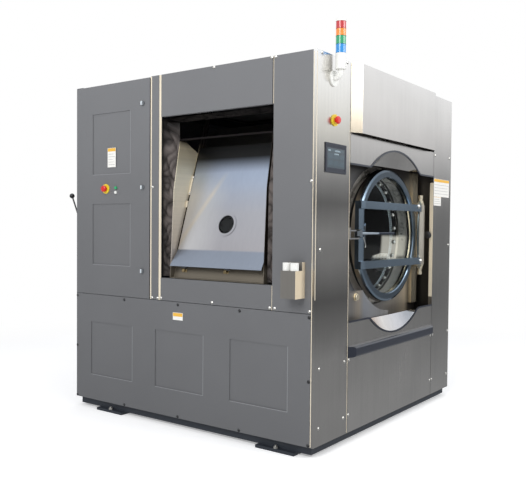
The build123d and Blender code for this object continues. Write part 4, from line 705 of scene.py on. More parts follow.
def tub_door_finish():
    """Steel of the tilted door with painted reflections and shade: blue above, warm below, lighter towards
    its left, with a painted slanting band of light, painted shade on its lip and a dark painted shade at its
    top.
    """
    cool, dark = (0.3, 0.345, 0.43), (0.02, 0.02, 0.02)
    slanting, middle, half = (-0.8635, 0.1517, 0.481), 0.4373, 0.024
    door = finish("tub_door_steel", (0.4, 0.42, 0.45), 0.36, 0.85, UPRIGHT, 1.0, 0.1, 0.2, 0.08, 0.03)
    # Painted reflections up the door, ending in painted shade at its top
    shade_along(door, ((1.045, (0.3, 0.29, 0.3)), (1.25, (0.31, 0.31, 0.33)), (1.48, cool), (1.6, dark)))
    # Painted lighter reflection towards the door's left side
    over(door, (0.52, 0.51, 0.5), -0.2, 0.16, (-1, 0, 0.05))
    # Painted slanting band of light across the door
    over(door, (0.5, 0.46, 0.4), middle - half, middle + half, slanting, band=True)
    over(door, cool, 1.36, 1.5, Z)
    over(door, dark, 1.49, 1.58, Z)
    # Painted shade on the door's lip
    over(door, (0.21, 0.235, 0.28), -1.045, -1.035, -Z)


# Place across the stainless side where the clamp lever's steel ends and its grip starts
GRIP = -0.8895 + 0.478 + 0.168


def round_door_steels(look):
    """Polished steel of the round door's frame, of its ring, and of the clamp lever with its dark grip. The
    frame has painted light towards its near end and warm painted light at both ends, and the ring a warm
    painted reflection on its outer wall, painted light and shade on its face and painted shade towards its
    top.
    """
    bright = look.bright
    door = finish("door_steel", bright, 0.22, 1.0, EVEN, 25.0, 0.12, 0.35, 0.08, 0.03)
    # Painted light along the frame: brighter towards its near end, warm at both ends
    lit = shares_of(bright, ((-0.4195, 1.35), (-0.36, 1.35), (-0.34, 1.0), (0.41, 1.0)))
    shade_along(door, [(-0.4225, (0.85, 0.78, 0.62)), *lit, (0.42, (0.85, 0.78, 0.66))], along=Y)
    ring = finish("ring_steel", bright, 0.22, 1.0, EVEN, 25.0, 0.12, 0.35, 0.08, 0.03)
    warm = (0.95, 0.85, 0.7)
    # Painted warm reflection on the ring's outer wall, and painted light and shade across its face
    shade_along(ring, [(0.84, warm), (0.868, warm), *shares_of(bright, ((0.878, 1.1), (0.89, 0.6)))], along=X)
    # Painted shade towards the ring's top
    over(ring, scaled(bright, 0.3), 1.35, 1.5, Z)
    steel, plastic = (0.4, 0.45, 0.5), (0.03, 0.038, 0.055)
    lever = finish("lever_steel", steel, 0.2, 1.0, EVEN, 90.0, 0.15, 0.2, 0.08, 0.05)
    shade_along(lever, ((GRIP - 0.1, steel), (GRIP, steel), (GRIP + 0.001, plastic), (GRIP + 0.1, plastic)),
                along=Y)


def latch_finish():
    """Dark metal of the cabinet's latches, with a painted highlight on their foremost faces."""
    latch = finish("latch_metal", (0.13, 0.14, 0.15), 0.4, 0.3, EVEN, 300.0, 0.2, 0.2, 0.08, 0.06)
    # Painted highlight on the latches' foremost faces
    over(latch, (0.8, 0.86, 0.9), 0.8965, 0.898, -Y)


def cloth_finish(look):
    """Dark coated cloth with painted shade: darker towards the floor, lightest a little below the top of the
    opening, and nearly black at its top.
    """
    cloth = finish("cloth", look.cloth, 0.5, 0.0, EVEN, 900.0, 0.35, 0.5, 0.12, 0.5)
    # Painted shade: darker towards the floor and nearly black at the top
    shade_along(cloth, shares_of(look.cloth, ((0.88, 0.5), (1.2, 0.8), (1.64, 1.0), (1.77, 0.12))))
    painted_crease_shade(cloth)


def plain_finishes(look):
    """Finishes of one tone. Each row has the name and tone, then roughness, metallic, stretch and scale of
    the grain, shares of streaks and clouds, spread of the roughness, relief, and any clear coat and glow."""
    rows = (
        ("frame_coat", look.frame_coat, 0.5, 0.0, EVEN, 500.0, 0.2, 0.3, 0.1, 0.15),
        ("shaft_steel", (0.55, 0.55, 0.55), 0.25, 1.0, (1, 90, 90), 1.0, 0.2, 0.2, 0.1, 0.05),
        # Warm pale tone of the hinge post and the corner bolt: painted warm light on their steel
        ("post_steel", (0.92, 0.82, 0.62), 0.24, 0.9, (60, 60, 2), 1.0, 0.5, 0.4, 0.1, 0.05),
        ("roof_steel", (0.2, 0.2, 0.195), 0.5, 0.5, EVEN, 30.0, 0.2, 0.5, 0.1, 0.05),
        ("trim", look.trim, 0.36, 0.0, EVEN, 180.0, 0.3, 0.3, 0.1, 0.12, 0.2),
        ("rubber", (0.012, 0.012, 0.012), 0.7, 0.0, EVEN, 220.0, 0.3, 0.3, 0.1, 0.2),
        ("cast_iron", (0.05, 0.055, 0.06), 0.6, 0.3, EVEN, 260.0, 0.5, 0.3, 0.15, 0.4),
        ("black_plastic", (0.012, 0.012, 0.013), 0.38, 0.0, EVEN, 400.0, 0.2, 0.2, 0.08, 0.1),
        ("yellow_plastic", (0.8, 0.6, 0.03), 0.4, 0.0, EVEN, 300.0, 0.1, 0.15, 0.08, 0.08),
        ("red_plastic", (0.62, 0.015, 0.01), 0.32, 0.0, EVEN, 300.0, 0.12, 0.15, 0.08, 0.06, 0.3),
        ("green_plastic", (0.03, 0.35, 0.14), 0.35, 0.0, EVEN, 300.0, 0.12, 0.15, 0.08, 0.06),
        ("white_plastic", (0.76, 0.76, 0.73), 0.42, 0.0, EVEN, 260.0, 0.05, 0.08, 0.08, 0.08),
        ("screen_frame", (0.016, 0.019, 0.03), 0.55, 0.0, EVEN, 300.0, 0.12, 0.2, 0.08, 0.06),
        ("page_mark", (0.25, 0.32, 0.36), 0.5, 0.0, EVEN, 60.0, 0.1, 0.3, 0.05, 0.0),
        ("page", look.page, 0.2, 0.0, EVEN, 60.0, 0.1, 0.3, 0.05, 0.0, 0.5, 0.05),
        ("page_light", scaled(look.page, 1.5), 0.2, 0.0, EVEN, 60.0, 0.1, 0.3, 0.05, 0.0, 0.5, 0.05),
        # Painted highlight lines of the pressed fields, lighter than the paint
        ("highlight_paint", scaled(look.paint, 1.7), 0.4, 0.0, EVEN, 220.0, 0.1, 0.12, 0.08, 0.05),
        # Pale tone of the seam sheets, fold strips and rail strips; on the seams and folds it is partly a
        # painted highlight of lit edges
        ("seam", look.seam, 0.4, 0.0, (60, 60, 3), 1.0, 0.2, 0.25, 0.1, 0.05),
        ("plate", look.plate, 0.45, 0.0, EVEN, 300.0, 0.06, 0.1, 0.08, 0.03),
        ("plate_band", look.band, 0.45, 0.0, EVEN, 300.0, 0.06, 0.12, 0.08, 0.03),
        ("plate_ink", (0.3, 0.3, 0.3), 0.5, 0.0, EVEN, 300.0, 0.06, 0.12, 0.08, 0.03),
        ("zinc", (0.62, 0.6, 0.56), 0.3, 1.0, EVEN, 320.0, 0.25, 0.25, 0.1, 0.15),
        ("brass", (0.3, 0.23, 0.12), 0.4, 0.7, EVEN, 320.0, 0.3, 0.3, 0.1, 0.15),
    )
    for row in rows:
        finish(*row)


# Finish of each solid that comes with the frame
NODE_FINISH = {
    "paint": "front_top_panel front_sill_panel front_column_strip front_right_column front_lower_panel "
             "cabinet_door electrical_box left_panel rear_panel",
    "frame_coat": "base_frame upper_frame",
    "column_steel": "near_column_panel",
    "hood_steel": "hood",
    "steel": "far_column_panel upper_wave_panel tub_shell drain_outlet",
    "dosing_steel": "dosing_box",
    "roof_steel": "top_cover",
    "neck_steel": "tub_front_plate",
    "post_steel": "door_hinge_post",
    "scoop_steel": "lower_wave_panel",
    "recess_steel": "door_surround",
    "chute_steel": "loading_chute",
    "tub_door_steel": "tub_door",
    "door_steel": "door_frame",
    "ring_steel": "door_ring",
    "lever_steel": "clamp_lever",
    "drum_steel": "drum_shell drum_hatch",
    "shaft_steel": "drum_shaft bearings water_inlets clamp_keeper",
    "trim": "wave_trims bumper_rail",
    "rubber": "door_gasket drive_belt air_springs",
    "cast_iron": "bearing_housing drum_pulley motor_pulley drive_motor",
    "latch_metal": "cabinet_latch_low cabinet_latch_middle cabinet_latch_high",
    "black_plastic": "side_lever",
    "yellow_plastic": "front_stop_ring side_stop_ring",
    "red_plastic": "front_stop_button side_stop_button",
    "green_plastic": "start_button",
    "white_plastic": "stop_button dosing_caps signal_tower_body",
    "screen_frame": "touch_screen",
    "lenses": "signal_lenses",
    "glass": "door_glass",
    "window_glass": "tub_door_window",
    "cloth": "hygiene_curtain",
}


class WASHER_OT_finishes(bpy.types.Operator):
    """Makes the finishes and gives each solid its own"""

    bl_idname = "washer.finishes"
    bl_label = "Finishes"

    def execute(self, context):
        look = looks()
        for build in (grain_group, tint_group, reach_group, holes_group, lifter_group, patch_group):
            build()
        for build in (paint_finish, casing_steels, recess_steels, round_door_steels, cloth_finish,
                      plain_finishes):
            build(look)
        chute_finish()
        tub_door_finish()
        latch_finish()
        drum_material(look.drum)
        lens_material()
        glass_material("glass", 1.1)
        glass_material("window_glass", 1.2)
        for name, nodes in NODE_FINISH.items():
            for node in nodes.split():
                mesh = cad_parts[node].data
                mesh.materials.clear()
                mesh.materials.append(finished(name))
        return {"FINISHED"}


# Screws


def screw(radius, rise):
    """Low domed head with a small dip in its middle, standing on a thin washer."""
    washer = [(radius * 1.25, 0.0), (radius * 1.25, rise * 0.25), (radius, rise * 0.25)]
    dome = [(radius * cos(a), rise * (0.25 + 0.75 * sin(a))) for a in (0.5, 1.0, 1.3)]
    return lathe([*washer, *dome, (radius * 0.2, rise * 0.8), (0, rise * 0.6)], 14)


# Places of the panel screws on each side, across and up
FRONT_SCREWS = ((0.687, 1.345), (1.8, 1.346), (0.687, 0.688), (0.732, 0.688), (0.761, 0.69), (1.154, 0.691),
                (1.549, 0.69), (1.581, 0.69), (1.796, 0.69), (1.158, 1.992), (1.55, 1.992), (1.574, 1.992))
BLACK_SCREWS = ((0.008, 0.661), (0.449, 0.661), (0.897, 0.661), (1.351, 0.661), (1.796, 0.661),
                (0.008, 0.336), (1.796, 0.336), (0.008, 0.01), (0.451, 0.01), (0.899, 0.01), (1.351, 0.01),
                (1.796, 0.01))
STEEL_SCREWS = ((0.051, 0.395), (0.309, 0.395), (0.05, 0.091), (0.304, 0.091), (0.049, 1.002), (0.048, 1.99),
                (0.304, 1.99), (0.359, 0.398), (0.358, 0.097), (1.467, 0.4), (1.467, 0.097), (1.507, 0.401),
                (1.769, 0.397), (1.501, 0.097), (1.761, 0.093), (1.504, 1.604), (1.754, 1.605),
                (1.759, 1.002))
REAR_SCREWS = tuple((a, u) for u in (0.04, 0.68, 1.32, 1.96) for a in (0.06, 0.913, 1.766)) + tuple(
    (a, u) for u in (0.36, 1.54) for a in (0.22, 0.87, 0.96, 1.61)
)
LEFT_SCREWS = tuple((a, u) for u in (0.05, 0.68, 1.32, 1.95) for a in (0.05, 0.87, 1.7))


class WASHER_OT_screws(bpy.types.Operator):
    """Panel screws of all four sides: turned heads, one object for each finish and side"""

    bl_idname = "washer.screws"
    bl_label = "Screws"

    def execute(self, context):
        head = screw(looks().screw_radius, looks().screw_rise)
        for name, face, places, metal, slot in (
            ("front_screws", "front", FRONT_SCREWS, "zinc", "bright_steel"),
            ("front_black_screws", "front", BLACK_SCREWS, "black_plastic", "black_plastic"),
            ("side_screws", "side", STEEL_SCREWS, "zinc", "bright_steel"),
            ("rear_screws", "rear", REAR_SCREWS, "zinc", "bright_steel"),
            ("left_screws", "left", LEFT_SCREWS, "zinc", "bright_steel"),
        ):
            piece(name, copies(face, places, head), metal, smooth=True)
        return {"FINISHED"}


# Floor anchors: where their plates' tops lie below the casing, and for washer, nut and stud the width as a
# share of the nut's, the height and the number of sides
ANCHOR_FOOT = -0.0435
ANCHOR_PARTS = ((1.1, 0.002, 16), (1.0, 0.009, 6), (0.5, 0.0065, 10))
ANCHORS = [(a, b) for a in (0.3165, 1.5895) for b in (0.011, 1.775)]


def closed_rod(radius, low, high, segments):
    """Turned rod with flat closed ends."""
    return lathe([(0, low), (radius, low), (radius, high), (0, high)], segments)


class WASHER_OT_anchors(bpy.types.Operator):
    """Floor anchors: a washer, a six-sided nut and the end of its stud in each foot plate"""

    bl_idname = "washer.anchors"
    bl_label = "Floor anchors"

    def execute(self, context):
        shapes, low = [], ANCHOR_FOOT
        for share, rise, sides in ANCHOR_PARTS:
            rod = closed_rod(looks().bolt_radius * share, low, low + rise, sides)
            shapes.append(copies("foot", ANCHORS, rod))
            low += rise
        piece("anchor_nuts", joined(*shapes), "zinc")
        return {"FINISHED"}


# Pressed fields of the cabinet door and of the lower panel: left, right, low and high on the loading side
DOOR_FIELDS = ((0.155, 0.497, 0.87, 1.252), (0.155, 0.497, 1.438, 1.818))
LOWER_FIELDS = ((0.1421, 0.518, 0.163, 0.501), (0.714, 1.0901, 0.163, 0.501), (1.284, 1.665, 0.163, 0.501))
FIELD_EDGE, FIELD_RISE = 0.0035, 0.0003
# Seams with a pale sheet behind them, its tone partly a painted highlight of lit sheet edges, in the same
# order, and that sheet's thickness
SEAMS = ((0.7395, 0.7575, 0.68, 1.999), (1.5605, 1.5645, 1.7555, 1.999), (1.5605, 1.5645, 0.68, 0.81))
SEAM_SHEET = 0.004
# Folded sheet edges, drawn as thin pale strips that paint the highlight along each edge: piece, face,
# left, right, low, high, how far it stands out, and slot
FOLDS = (
    ("strip_fold", "front", 0.6722, 0.6812, 0.681, 1.998, 0.0006, "grey_paint"),
    ("near_column_fold", "side", 0.3385, 0.3415, 0.004, 1.685, 0.0006, "stainless"),
    ("corner_fold", "front", 1.8075, 1.8115, 0.004, 1.99, 0.0004, "stainless"),
    ("corner_edge", "side", 0.0002, 0.0057, 0.75, 1.99, 0.0004, "stainless"),
    ("column_edge", "column_edge", -0.0245, -0.0005, 0.66, 1.42, 0.001, "stainless"),
)


class WASHER_OT_seams(bpy.types.Operator):
    """Pale sheet edges in the seams round the loading opening, their tone partly a painted highlight, and
    painted highlight lines at the pressed fields and along the folds
    """

    bl_idname = "washer.seams"
    bl_label = "Seam strips"

    def execute(self, context):
        front = -looks().seam_recess
        seams = [(*seam, front - SEAM_SHEET, front) for seam in SEAMS]
        piece("seam_edges", boxes("front", seams), "seam")
        for name, fields, body in (("door_field_highlights", DOOR_FIELDS, "cabinet_door"),
                                   ("lower_field_highlights", LOWER_FIELDS, "cabinet")):
            # Painted highlights: lighter lines along each field's right and low edges, where light catches
            # the step
            lines = [(right, right + FIELD_EDGE, low, high) for left, right, low, high in fields]
            lines += [(left, right + FIELD_EDGE, low - FIELD_EDGE, low) for left, right, low, high in fields]
            raised = [(*line, 0.0, FIELD_RISE) for line in lines]
            piece(name, boxes("front", raised), "highlight_paint", body)
        for name, face, *span, rise, slot in FOLDS:
            piece(name, boxes(face, [(*span, 0.0, rise)]), "seam")
        return {"FINISHED"}


# Blank plates: thickness of the sheet, height of what is printed on it, and the margins of the band and lines
PLATE_SHEET, PLATE_PRINT = 0.0006, 0.0009
BAND_MARGIN, LINE_MARGIN = 0.002, 0.008
LINE_STEP, HALF_LINE = 0.01, 0.001


def blank_plate(name, face, left, right, low, high, band, rows, body="cabinet"):
    """Blank plate: a pale sheet, a coloured band across its top and plain hairlines beneath."""
    piece(name, boxes(face, [(left, right, low, high, 0.0, PLATE_SHEET)]), "plate", body)
    top = high - band
    strip = (left + BAND_MARGIN, right - BAND_MARGIN, top, high - BAND_MARGIN, PLATE_SHEET, PLATE_PRINT)
    piece(f"{name}_band", boxes(face, [strip]), "plate_band", body)
    if rows:
        lines = []
        for row in range(rows):
            middle = low + (top - low) / (rows + 1) * (row + 1)
            end = right - LINE_MARGIN - LINE_STEP * (row % 3)
            lines.append((left + LINE_MARGIN, end, middle - HALF_LINE, middle + HALF_LINE, PLATE_SHEET,
                          PLATE_PRINT))
        piece(f"{name}_lines", boxes(face, lines), "plate_ink", body)


class WASHER_OT_plates(bpy.types.Operator):
    """Blank plates on the door, the lower panel and the far column"""

    bl_idname = "washer.plates"
    bl_label = "Blank plates"

    def execute(self, context):
        blank_plate("door_plate", "front", 0.295, 0.369, 1.479, 1.599, 0.022, 5, "cabinet_door")
        blank_plate("lower_plate", "front", 0.858, 0.936, 0.572, 0.615, 0.022, 0)
        blank_plate("far_plate", "side", 1.49, 1.754, 1.331, 1.45, 0.02, 4)
        blank_plate("far_plate_foot", "side", 1.49, 1.613, 1.27, 1.3305, 0.004, 3)
        return {"FINISHED"}


# Lit page of the touch screen on the stainless side, and its two depths before the side's face
PAGE_LEFT, PAGE_RIGHT, PAGE_LOW, PAGE_HIGH = 0.1, 0.278, 1.422, 1.524
PAGE_BACK, PAGE_FRONT = 0.004, 0.0041
# Bar across the page's top: its margin and how far below the page's top it ends
BAR_MARGIN, BAR_DROP = 0.006, 0.018
# Tiles in rows and columns: size, gaps, and where the first one starts from the page's corner
TILE_WIDTH, TILE_HEIGHT = 0.05, 0.026
TILE_GAP, TILE_ROW_GAP = 0.007, 0.01
TILES_LEFT, TILES_LOW = 0.008, 0.012
TILE_ROWS, TILE_COLUMNS = 2, 3
# Plain marks: left and right from the page's left, then low and high below the page's top
PAGE_MARKS = ((0.01, 0.034, 0.017, 0.008), (0.08, 0.13, 0.017, 0.009), (0.07, 0.115, 0.032, 0.026))
PRINT = 0.0002


class WASHER_OT_screen(bpy.types.Operator):
    """Plain page of the touch screen: a bar, rows of blank tiles and three short plain marks"""

    bl_idname = "washer.screen"
    bl_label = "Screen page"

    def execute(self, context):
        page = (PAGE_LEFT, PAGE_RIGHT, PAGE_LOW, PAGE_HIGH, PAGE_BACK, PAGE_FRONT)
        piece("screen_page", boxes("side", [page]), "page")
        tiles = [(PAGE_LEFT + BAR_MARGIN, PAGE_RIGHT - BAR_MARGIN, PAGE_HIGH - BAR_DROP,
                  PAGE_HIGH - BAR_MARGIN)]
        for row in range(TILE_ROWS):
            for column in range(TILE_COLUMNS):
                left = PAGE_LEFT + TILES_LEFT + column * (TILE_WIDTH + TILE_GAP)
                low = PAGE_LOW + TILES_LOW + row * (TILE_HEIGHT + TILE_ROW_GAP)
                tiles.append((left, left + TILE_WIDTH, low, low + TILE_HEIGHT))
        spans = [(*tile, PAGE_FRONT, PAGE_FRONT + PRINT) for tile in tiles]
        piece("screen_tiles", boxes("side", spans), "page_light")
        spans = [(PAGE_LEFT + left, PAGE_LEFT + right, PAGE_HIGH - low, PAGE_HIGH - high, PAGE_FRONT + PRINT,
                  PAGE_FRONT + 2 * PRINT) for left, right, low, high in PAGE_MARKS]
        piece("screen_marks", boxes("side", spans), "page_mark")
        return {"FINISHED"}


# The curtain in the casing's own coordinates: its U at the casing's rail, how much nearer the chute's edge
# lies at the sides and the top, where the rail lies behind the face, and the depths that it stays between
CURTAIN_LEFT, CURTAIN_RIGHT, CURTAIN_LOW, CURTAIN_HIGH = 0.746, 1.588, 0.822, 1.748
REACH_SIDE, REACH_TOP = 0.077, 0.02
RAIL_DEPTH = 0.029
CHUTE_HEIGHTS, CHUTE_DEPTHS = (0.814, 1.327, 1.64), (0.03, 0.038, 0.09)
DEPTH_LIMITS = (0.0275, 0.104)
# Waves that bend the folds: size, turns along the U, slant across the strip and start, all in radians
BENDS = ((1.7, 6.1, 1.3, 0.0), (1.1, 15.0, -2.6, 0.8), (0.6, 33.0, 4.4, 2.0))
# Two families of creases: turns along the U, share of the bend, slant and start
RIDGE, CREASE = (22.0, 1.0, 1.5, 0.0), (35.5, -1.3, -2.7, 0.9)
SHARPNESS = 0.6
# Fine ripple: turns along the U, slant and share of the bend
RIPPLE = (260.0, 19.0, 2.2)
# Shares of the pleat's depth that ridges, creases and ripple take, and how soon the held edges let go
RIDGE_SHARE, CREASE_SHARE, RIPPLE_SHARE = 1.4, 1.0, 0.2
LETTING_GO = 0.7


def curtain_grid(pleat, rows=620, columns=34):
    """Sheet along a U: up the left side of the opening, across its top and down the right. It runs across
    from the casing's rail to the chute. Its depth is the straight line between both plus a crumple that only
    pushes inwards: broad folds with sharp creases between them, made of bent waves along the U, that fade to
    nothing at the two held edges. With the points comes the fold value, nought in a crease and one on a
    fold and lower towards the rail, which the material turns into painted shade in the creases."""
    rise, run = CURTAIN_HIGH - CURTAIN_LOW, CURTAIN_RIGHT - CURTAIN_LEFT
    way = np.linspace(0, 1, rows) * (2 * rise + run)
    up_left = np.stack([np.full(rows, CURTAIN_LEFT), CURTAIN_LOW + way], 1)
    over_top = np.stack([CURTAIN_LEFT + way - rise, np.full(rows, CURTAIN_HIGH)], 1)
    down_right = np.stack([np.full(rows, CURTAIN_RIGHT), CURTAIN_HIGH - (way - rise - run)], 1)
    along = way[:, None]
    outer = np.where(along < rise, up_left, np.where(along < rise + run, over_top, down_right))
    middle = (CURTAIN_LEFT + CURTAIN_RIGHT) / 2
    shrink = (run / 2 - REACH_SIDE) / (run / 2)
    inner = np.stack([middle + (outer[:, 0] - middle) * shrink,
                      np.minimum(outer[:, 1], CURTAIN_HIGH - REACH_TOP)], 1)
    across = np.linspace(0, 1, columns)[None]
    place = outer[:, None] + across[:, :, None] * (inner - outer)[:, None]
    chute = np.interp(inner[:, 1], CHUTE_HEIGHTS, CHUTE_DEPTHS)
    depth = RAIL_DEPTH + across * (chute[:, None] - RAIL_DEPTH)
    bend = sum(size * np.sin(turns * along + lean * across + start) for size, turns, lean, start in BENDS)

    def creased(turns, share, lean, start):
        """Folds with sharp creases: a power under one of a sine's size."""
        return np.abs(np.sin(turns * along + share * bend + lean * across + start)) ** SHARPNESS

    ridge, crease = creased(*RIDGE), creased(*CREASE)
    turns, lean, share = RIPPLE
    fine = 0.5 + 0.5 * np.sin(turns * along + lean * across + share * bend)
    held = np.sin(pi * across) ** LETTING_GO
    crumple = RIDGE_SHARE * (1 - ridge) + CREASE_SHARE * (1 - crease) + RIPPLE_SHARE * fine
    depth = np.clip(depth + pleat * held * crumple, *DEPTH_LIMITS)
    fold = np.clip(0.85 * ridge * (0.35 + 0.65 * crease) + 0.06 * fine - 0.5 * (1 - across) ** 4, 0, 1)
    points = np.stack([place[..., 0], depth, place[..., 1]], -1) + CORNER
    index = np.arange(rows * columns).reshape(rows, columns)
    corners = [index[:-1, :-1], index[:-1, 1:], index[1:, 1:], index[1:, :-1]]
    faces = np.stack(corners, -1).reshape(-1, 4)
    return (points.reshape(-1, 3), faces.tolist()), fold.reshape(-1)


class WASHER_OT_curtain(bpy.types.Operator):
    """Hygiene curtain: a crumpled cloth gathered between the casing's rail and the chute, for its solid"""

    bl_idname = "washer.curtain"
    bl_label = "Curtain"

    def execute(self, context):
        sheet, fold = curtain_grid(looks().pleat)
        made = piece("curtain_cloth", sheet, "cloth", smooth=True)
        # The fold value drives the painted shade in the creases
        made.data.attributes.new("fold", "FLOAT", "POINT").data.foreach_set("value", fold.astype(np.float32))
        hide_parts("hygiene_curtain")
        return {"FINISHED"}


# Wear strips on the tub door's rails: left, right, low and high on the slope, and how far they stand out
RAIL_STRIPS = ((0.8305, 0.8405, 0.34, 0.46, 0.004), (0.8305, 0.8405, 0.26, 0.3, 0.006),
               (1.4885, 1.4985, 0.34, 0.46, 0.004))
# Bolts in the strips: places, radius and rise of their heads, and the strips' height that they stand on
RAIL_BOLTS = ((0.8355, 0.35), (0.8355, 0.45), (1.4935, 0.35), (1.4935, 0.45))
RAIL_BOLT_HEAD = (0.0055, 0.0018)
STRIP_RISE = 0.004
# Catches on the apron: middles across and up the slope, half sizes of their plates and bodies, and depths
CATCHES = ((0.907, -0.121), (1.218, -0.117))
PLATE_ACROSS, BODY_ACROSS = 0.018, 0.009
CATCH_UP, BODY_DOWN = 0.009, 0.005
CATCH_BACK, CATCH_PLATE, CATCH_FRONT = -0.0236, -0.0206, -0.0076
CATCH_EDGE = 0.002


class WASHER_OT_opening(bpy.types.Operator):
    """Fittings of the loading opening: wear strips on the door's rails, their bolts, and two catches"""

    bl_idname = "washer.opening"
    bl_label = "Opening fittings"

    def execute(self, context):
        strips = [(*span, 0.0, rise) for *span, rise in RAIL_STRIPS]
        piece("rail_strips", boxes("slope", strips), "seam")
        raised = moved(screw(*RAIL_BOLT_HEAD), (0, 0, STRIP_RISE))
        piece("rail_bolts", copies("slope", RAIL_BOLTS, raised), "zinc", smooth=True)
        catches = []
        for across, up in CATCHES:
            catches.append((across - PLATE_ACROSS, across + PLATE_ACROSS, up - CATCH_UP, up + CATCH_UP,
                            CATCH_BACK, CATCH_PLATE))
            catches.append((across - BODY_ACROSS, across + BODY_ACROSS, up - BODY_DOWN, up + CATCH_UP,
                            CATCH_PLATE, CATCH_FRONT))
        piece("apron_catches", boxes("slope", catches), "brass", bevel=CATCH_EDGE)
        return {"FINISHED"}


# Outlines of turned fittings, each pair a radius and a height, and how deep in the recess they stand
CORNER_BOLT = ((0, 0.0), (0.027, 0.0), (0.027, 0.003), (0.02, 0.003), (0.02, 0.014), (0.018, 0.016),
               (0, 0.016))
WALL_KNOB = ((0, 0.0), (0.012, 0.0), (0.012, 0.02), (0.023, 0.024), (0.025, 0.034), (0.021, 0.046),
             (0.012, 0.05), (0, 0.051))
BOLT_DEPTH, BOSS_DEPTH = 0.046, 0.006
# Their places on the stainless side or on the recess's far wall, and a boss's radius and rise
BOLT_PLACE, KNOB_PLACE = (0.508, 0.727), (-0.03, 1.072)
BOSS_PLACES = ((1.262, 1.256), (1.3, 0.906))
BOSS_HEAD = (0.011, 0.01)


class WASHER_OT_recess(bpy.types.Operator):
    """Fittings of the round door's recess: a bolt in its corner, a knob on its wall and the arms' bosses"""

    bl_idname = "washer.recess"
    bl_label = "Recess fittings"

    def execute(self, context):
        bolt = moved(lathe(CORNER_BOLT, 6), (0, 0, -BOLT_DEPTH))
        piece("corner_bolt", copies("side", BOLT_PLACE, bolt), "post_steel")
        knob = lathe(WALL_KNOB, 18)
        piece("wall_knob", copies("far_wall", KNOB_PLACE, knob), "rubber", smooth=True)
        boss = moved(screw(*BOSS_HEAD), (0, 0, -BOSS_DEPTH))
        piece("arm_bosses", copies("side", BOSS_PLACES, boss), "zinc", body="round_door",
              smooth=True)
        return {"FINISHED"}


# Middle of the drum's mouth in the casing's coordinates, and the count and radius of its ring of bolts
MOUTH = 1.641 * X + 0.922 * Y + 1.07 * Z
MOUTH_BOLTS, MOUTH_BOLT_RADIUS = 24, 0.345
MOUTH_BOLT_HEAD = (0.011, 0.009)


class WASHER_OT_mouth_bolts(bpy.types.Operator):
    """Bolts round the tub's neck and the drum's mouth, seen through the round door's glass"""

    bl_idname = "washer.mouth_bolts"
    bl_label = "Mouth bolts"

    def execute(self, context):
        points, faces = screw(*MOUTH_BOLT_HEAD)
        rows = []
        for k in range(MOUTH_BOLTS):
            turn = 2 * pi * (k + 0.5) / MOUTH_BOLTS
            inward = -cos(turn) * Y - sin(turn) * Z
            around = cos(turn) * Z - sin(turn) * Y
            start = CORNER + MOUTH - MOUTH_BOLT_RADIUS * inward
            rows.append(start + points[:, :1] * around + points[:, 1:2] * X + points[:, 2:3] * inward)
        shape = np.vstack(rows), repeated(faces, MOUTH_BOLTS, len(points))
        piece("mouth_bolts", shape, "zinc", "drum", smooth=True)
        return {"FINISHED"}


# Hook under the clamp lever's hub: how far its rod's middle stands out, the rod's radius, where it starts
# across and up the stainless side, how far it swings and leans across, and how far it drops and turns up
HOOK_OUT, HOOK_RADIUS = 0.004, 0.0028
HOOK_ACROSS, HOOK_UP = 0.498, 1.062
HOOK_SWING, HOOK_TURN, HOOK_LEAN = 0.02, 2.6, 0.01
HOOK_DROP, HOOK_END = 0.085, 0.03


def hook_path(steps=26):
    """Path of the hook: it drops evenly, swings across with a sine, leans across evenly, and turns up at its
    end with the cube of the way."""
    way = np.linspace(0, 1, steps)[:, None]
    across = HOOK_SWING * np.sin(HOOK_TURN * way) + HOOK_LEAN * way
    up = HOOK_UP - HOOK_DROP * way + HOOK_END * way ** 3
    return CORNER + (WIDTH + HOOK_OUT) * X + (HOOK_ACROSS + across) * Y + up * Z


class WASHER_OT_lever_hook(bpy.types.Operator):
    """Hook that hangs under the clamp lever's hub: a thin rod along a bent path"""

    bl_idname = "washer.lever_hook"
    bl_label = "Lever hook"

    def execute(self, context):
        hook = tube(hook_path(), HOOK_RADIUS)
        piece("lever_hook", hook, "zinc", "clamp_lever", smooth=True)
        return {"FINISHED"}


# Signal tower: its middle on the casing, heights of the rings, and a ring's two radii and half height
TOWER = (WIDTH + 0.04) * X + 0.162 * Y
RING_HEIGHTS = (2.003, 2.048, 2.09, 2.126, 2.164)
RING_INSIDE, RING_OUTSIDE, RING_HALF = 0.0266, 0.0269, 0.0008


class WASHER_OT_tower_rings(bpy.types.Operator):
    """Thin dark rings between the signal tower's lenses"""

    bl_idname = "washer.tower_rings"
    bl_label = "Tower rings"

    def execute(self, context):
        ring = lathe([(RING_INSIDE, -RING_HALF), (RING_OUTSIDE, -RING_HALF), (RING_OUTSIDE, RING_HALF),
                      (RING_INSIDE, RING_HALF)], 32)
        rings = [moved(ring, CORNER + TOWER + height * Z) for height in RING_HEIGHTS]
        piece("tower_rings", joined(*rings), "rubber", smooth=True)
        return {"FINISHED"}


# Studio


def mixed(tree, share, one, two):
    """Adds a Mix Shader node between two shaders by a share, and gives its result."""
    node = tree.nodes.new("ShaderNodeMixShader")
    for socket, value in zip(node.inputs, (share, one, two)):
        tree.links.new(value, socket)
    return node.outputs[0]


def fade_floor(material, near, far):
    """Blends the floor into the white background between two distances from the middle."""
    tree = material.node_tree
    away = vector_maths(tree, "LENGTH", own_place(tree))
    ramp = tree.nodes.new("ShaderNodeMapRange")
    ramp.interpolation_type = "SMOOTHSTEP"
    set_values(ramp, {"From Min": near, "From Max": far})
    tree.links.new(away.outputs["Value"], ramp.inputs["Value"])
    white = tree.nodes.new("ShaderNodeEmission")
    blend = mixed(tree, ramp.outputs[0], tree.nodes["Principled BSDF"].outputs[0], white.outputs[0])
    tree.links.new(blend, tree.nodes["Material Output"].inputs["Surface"])


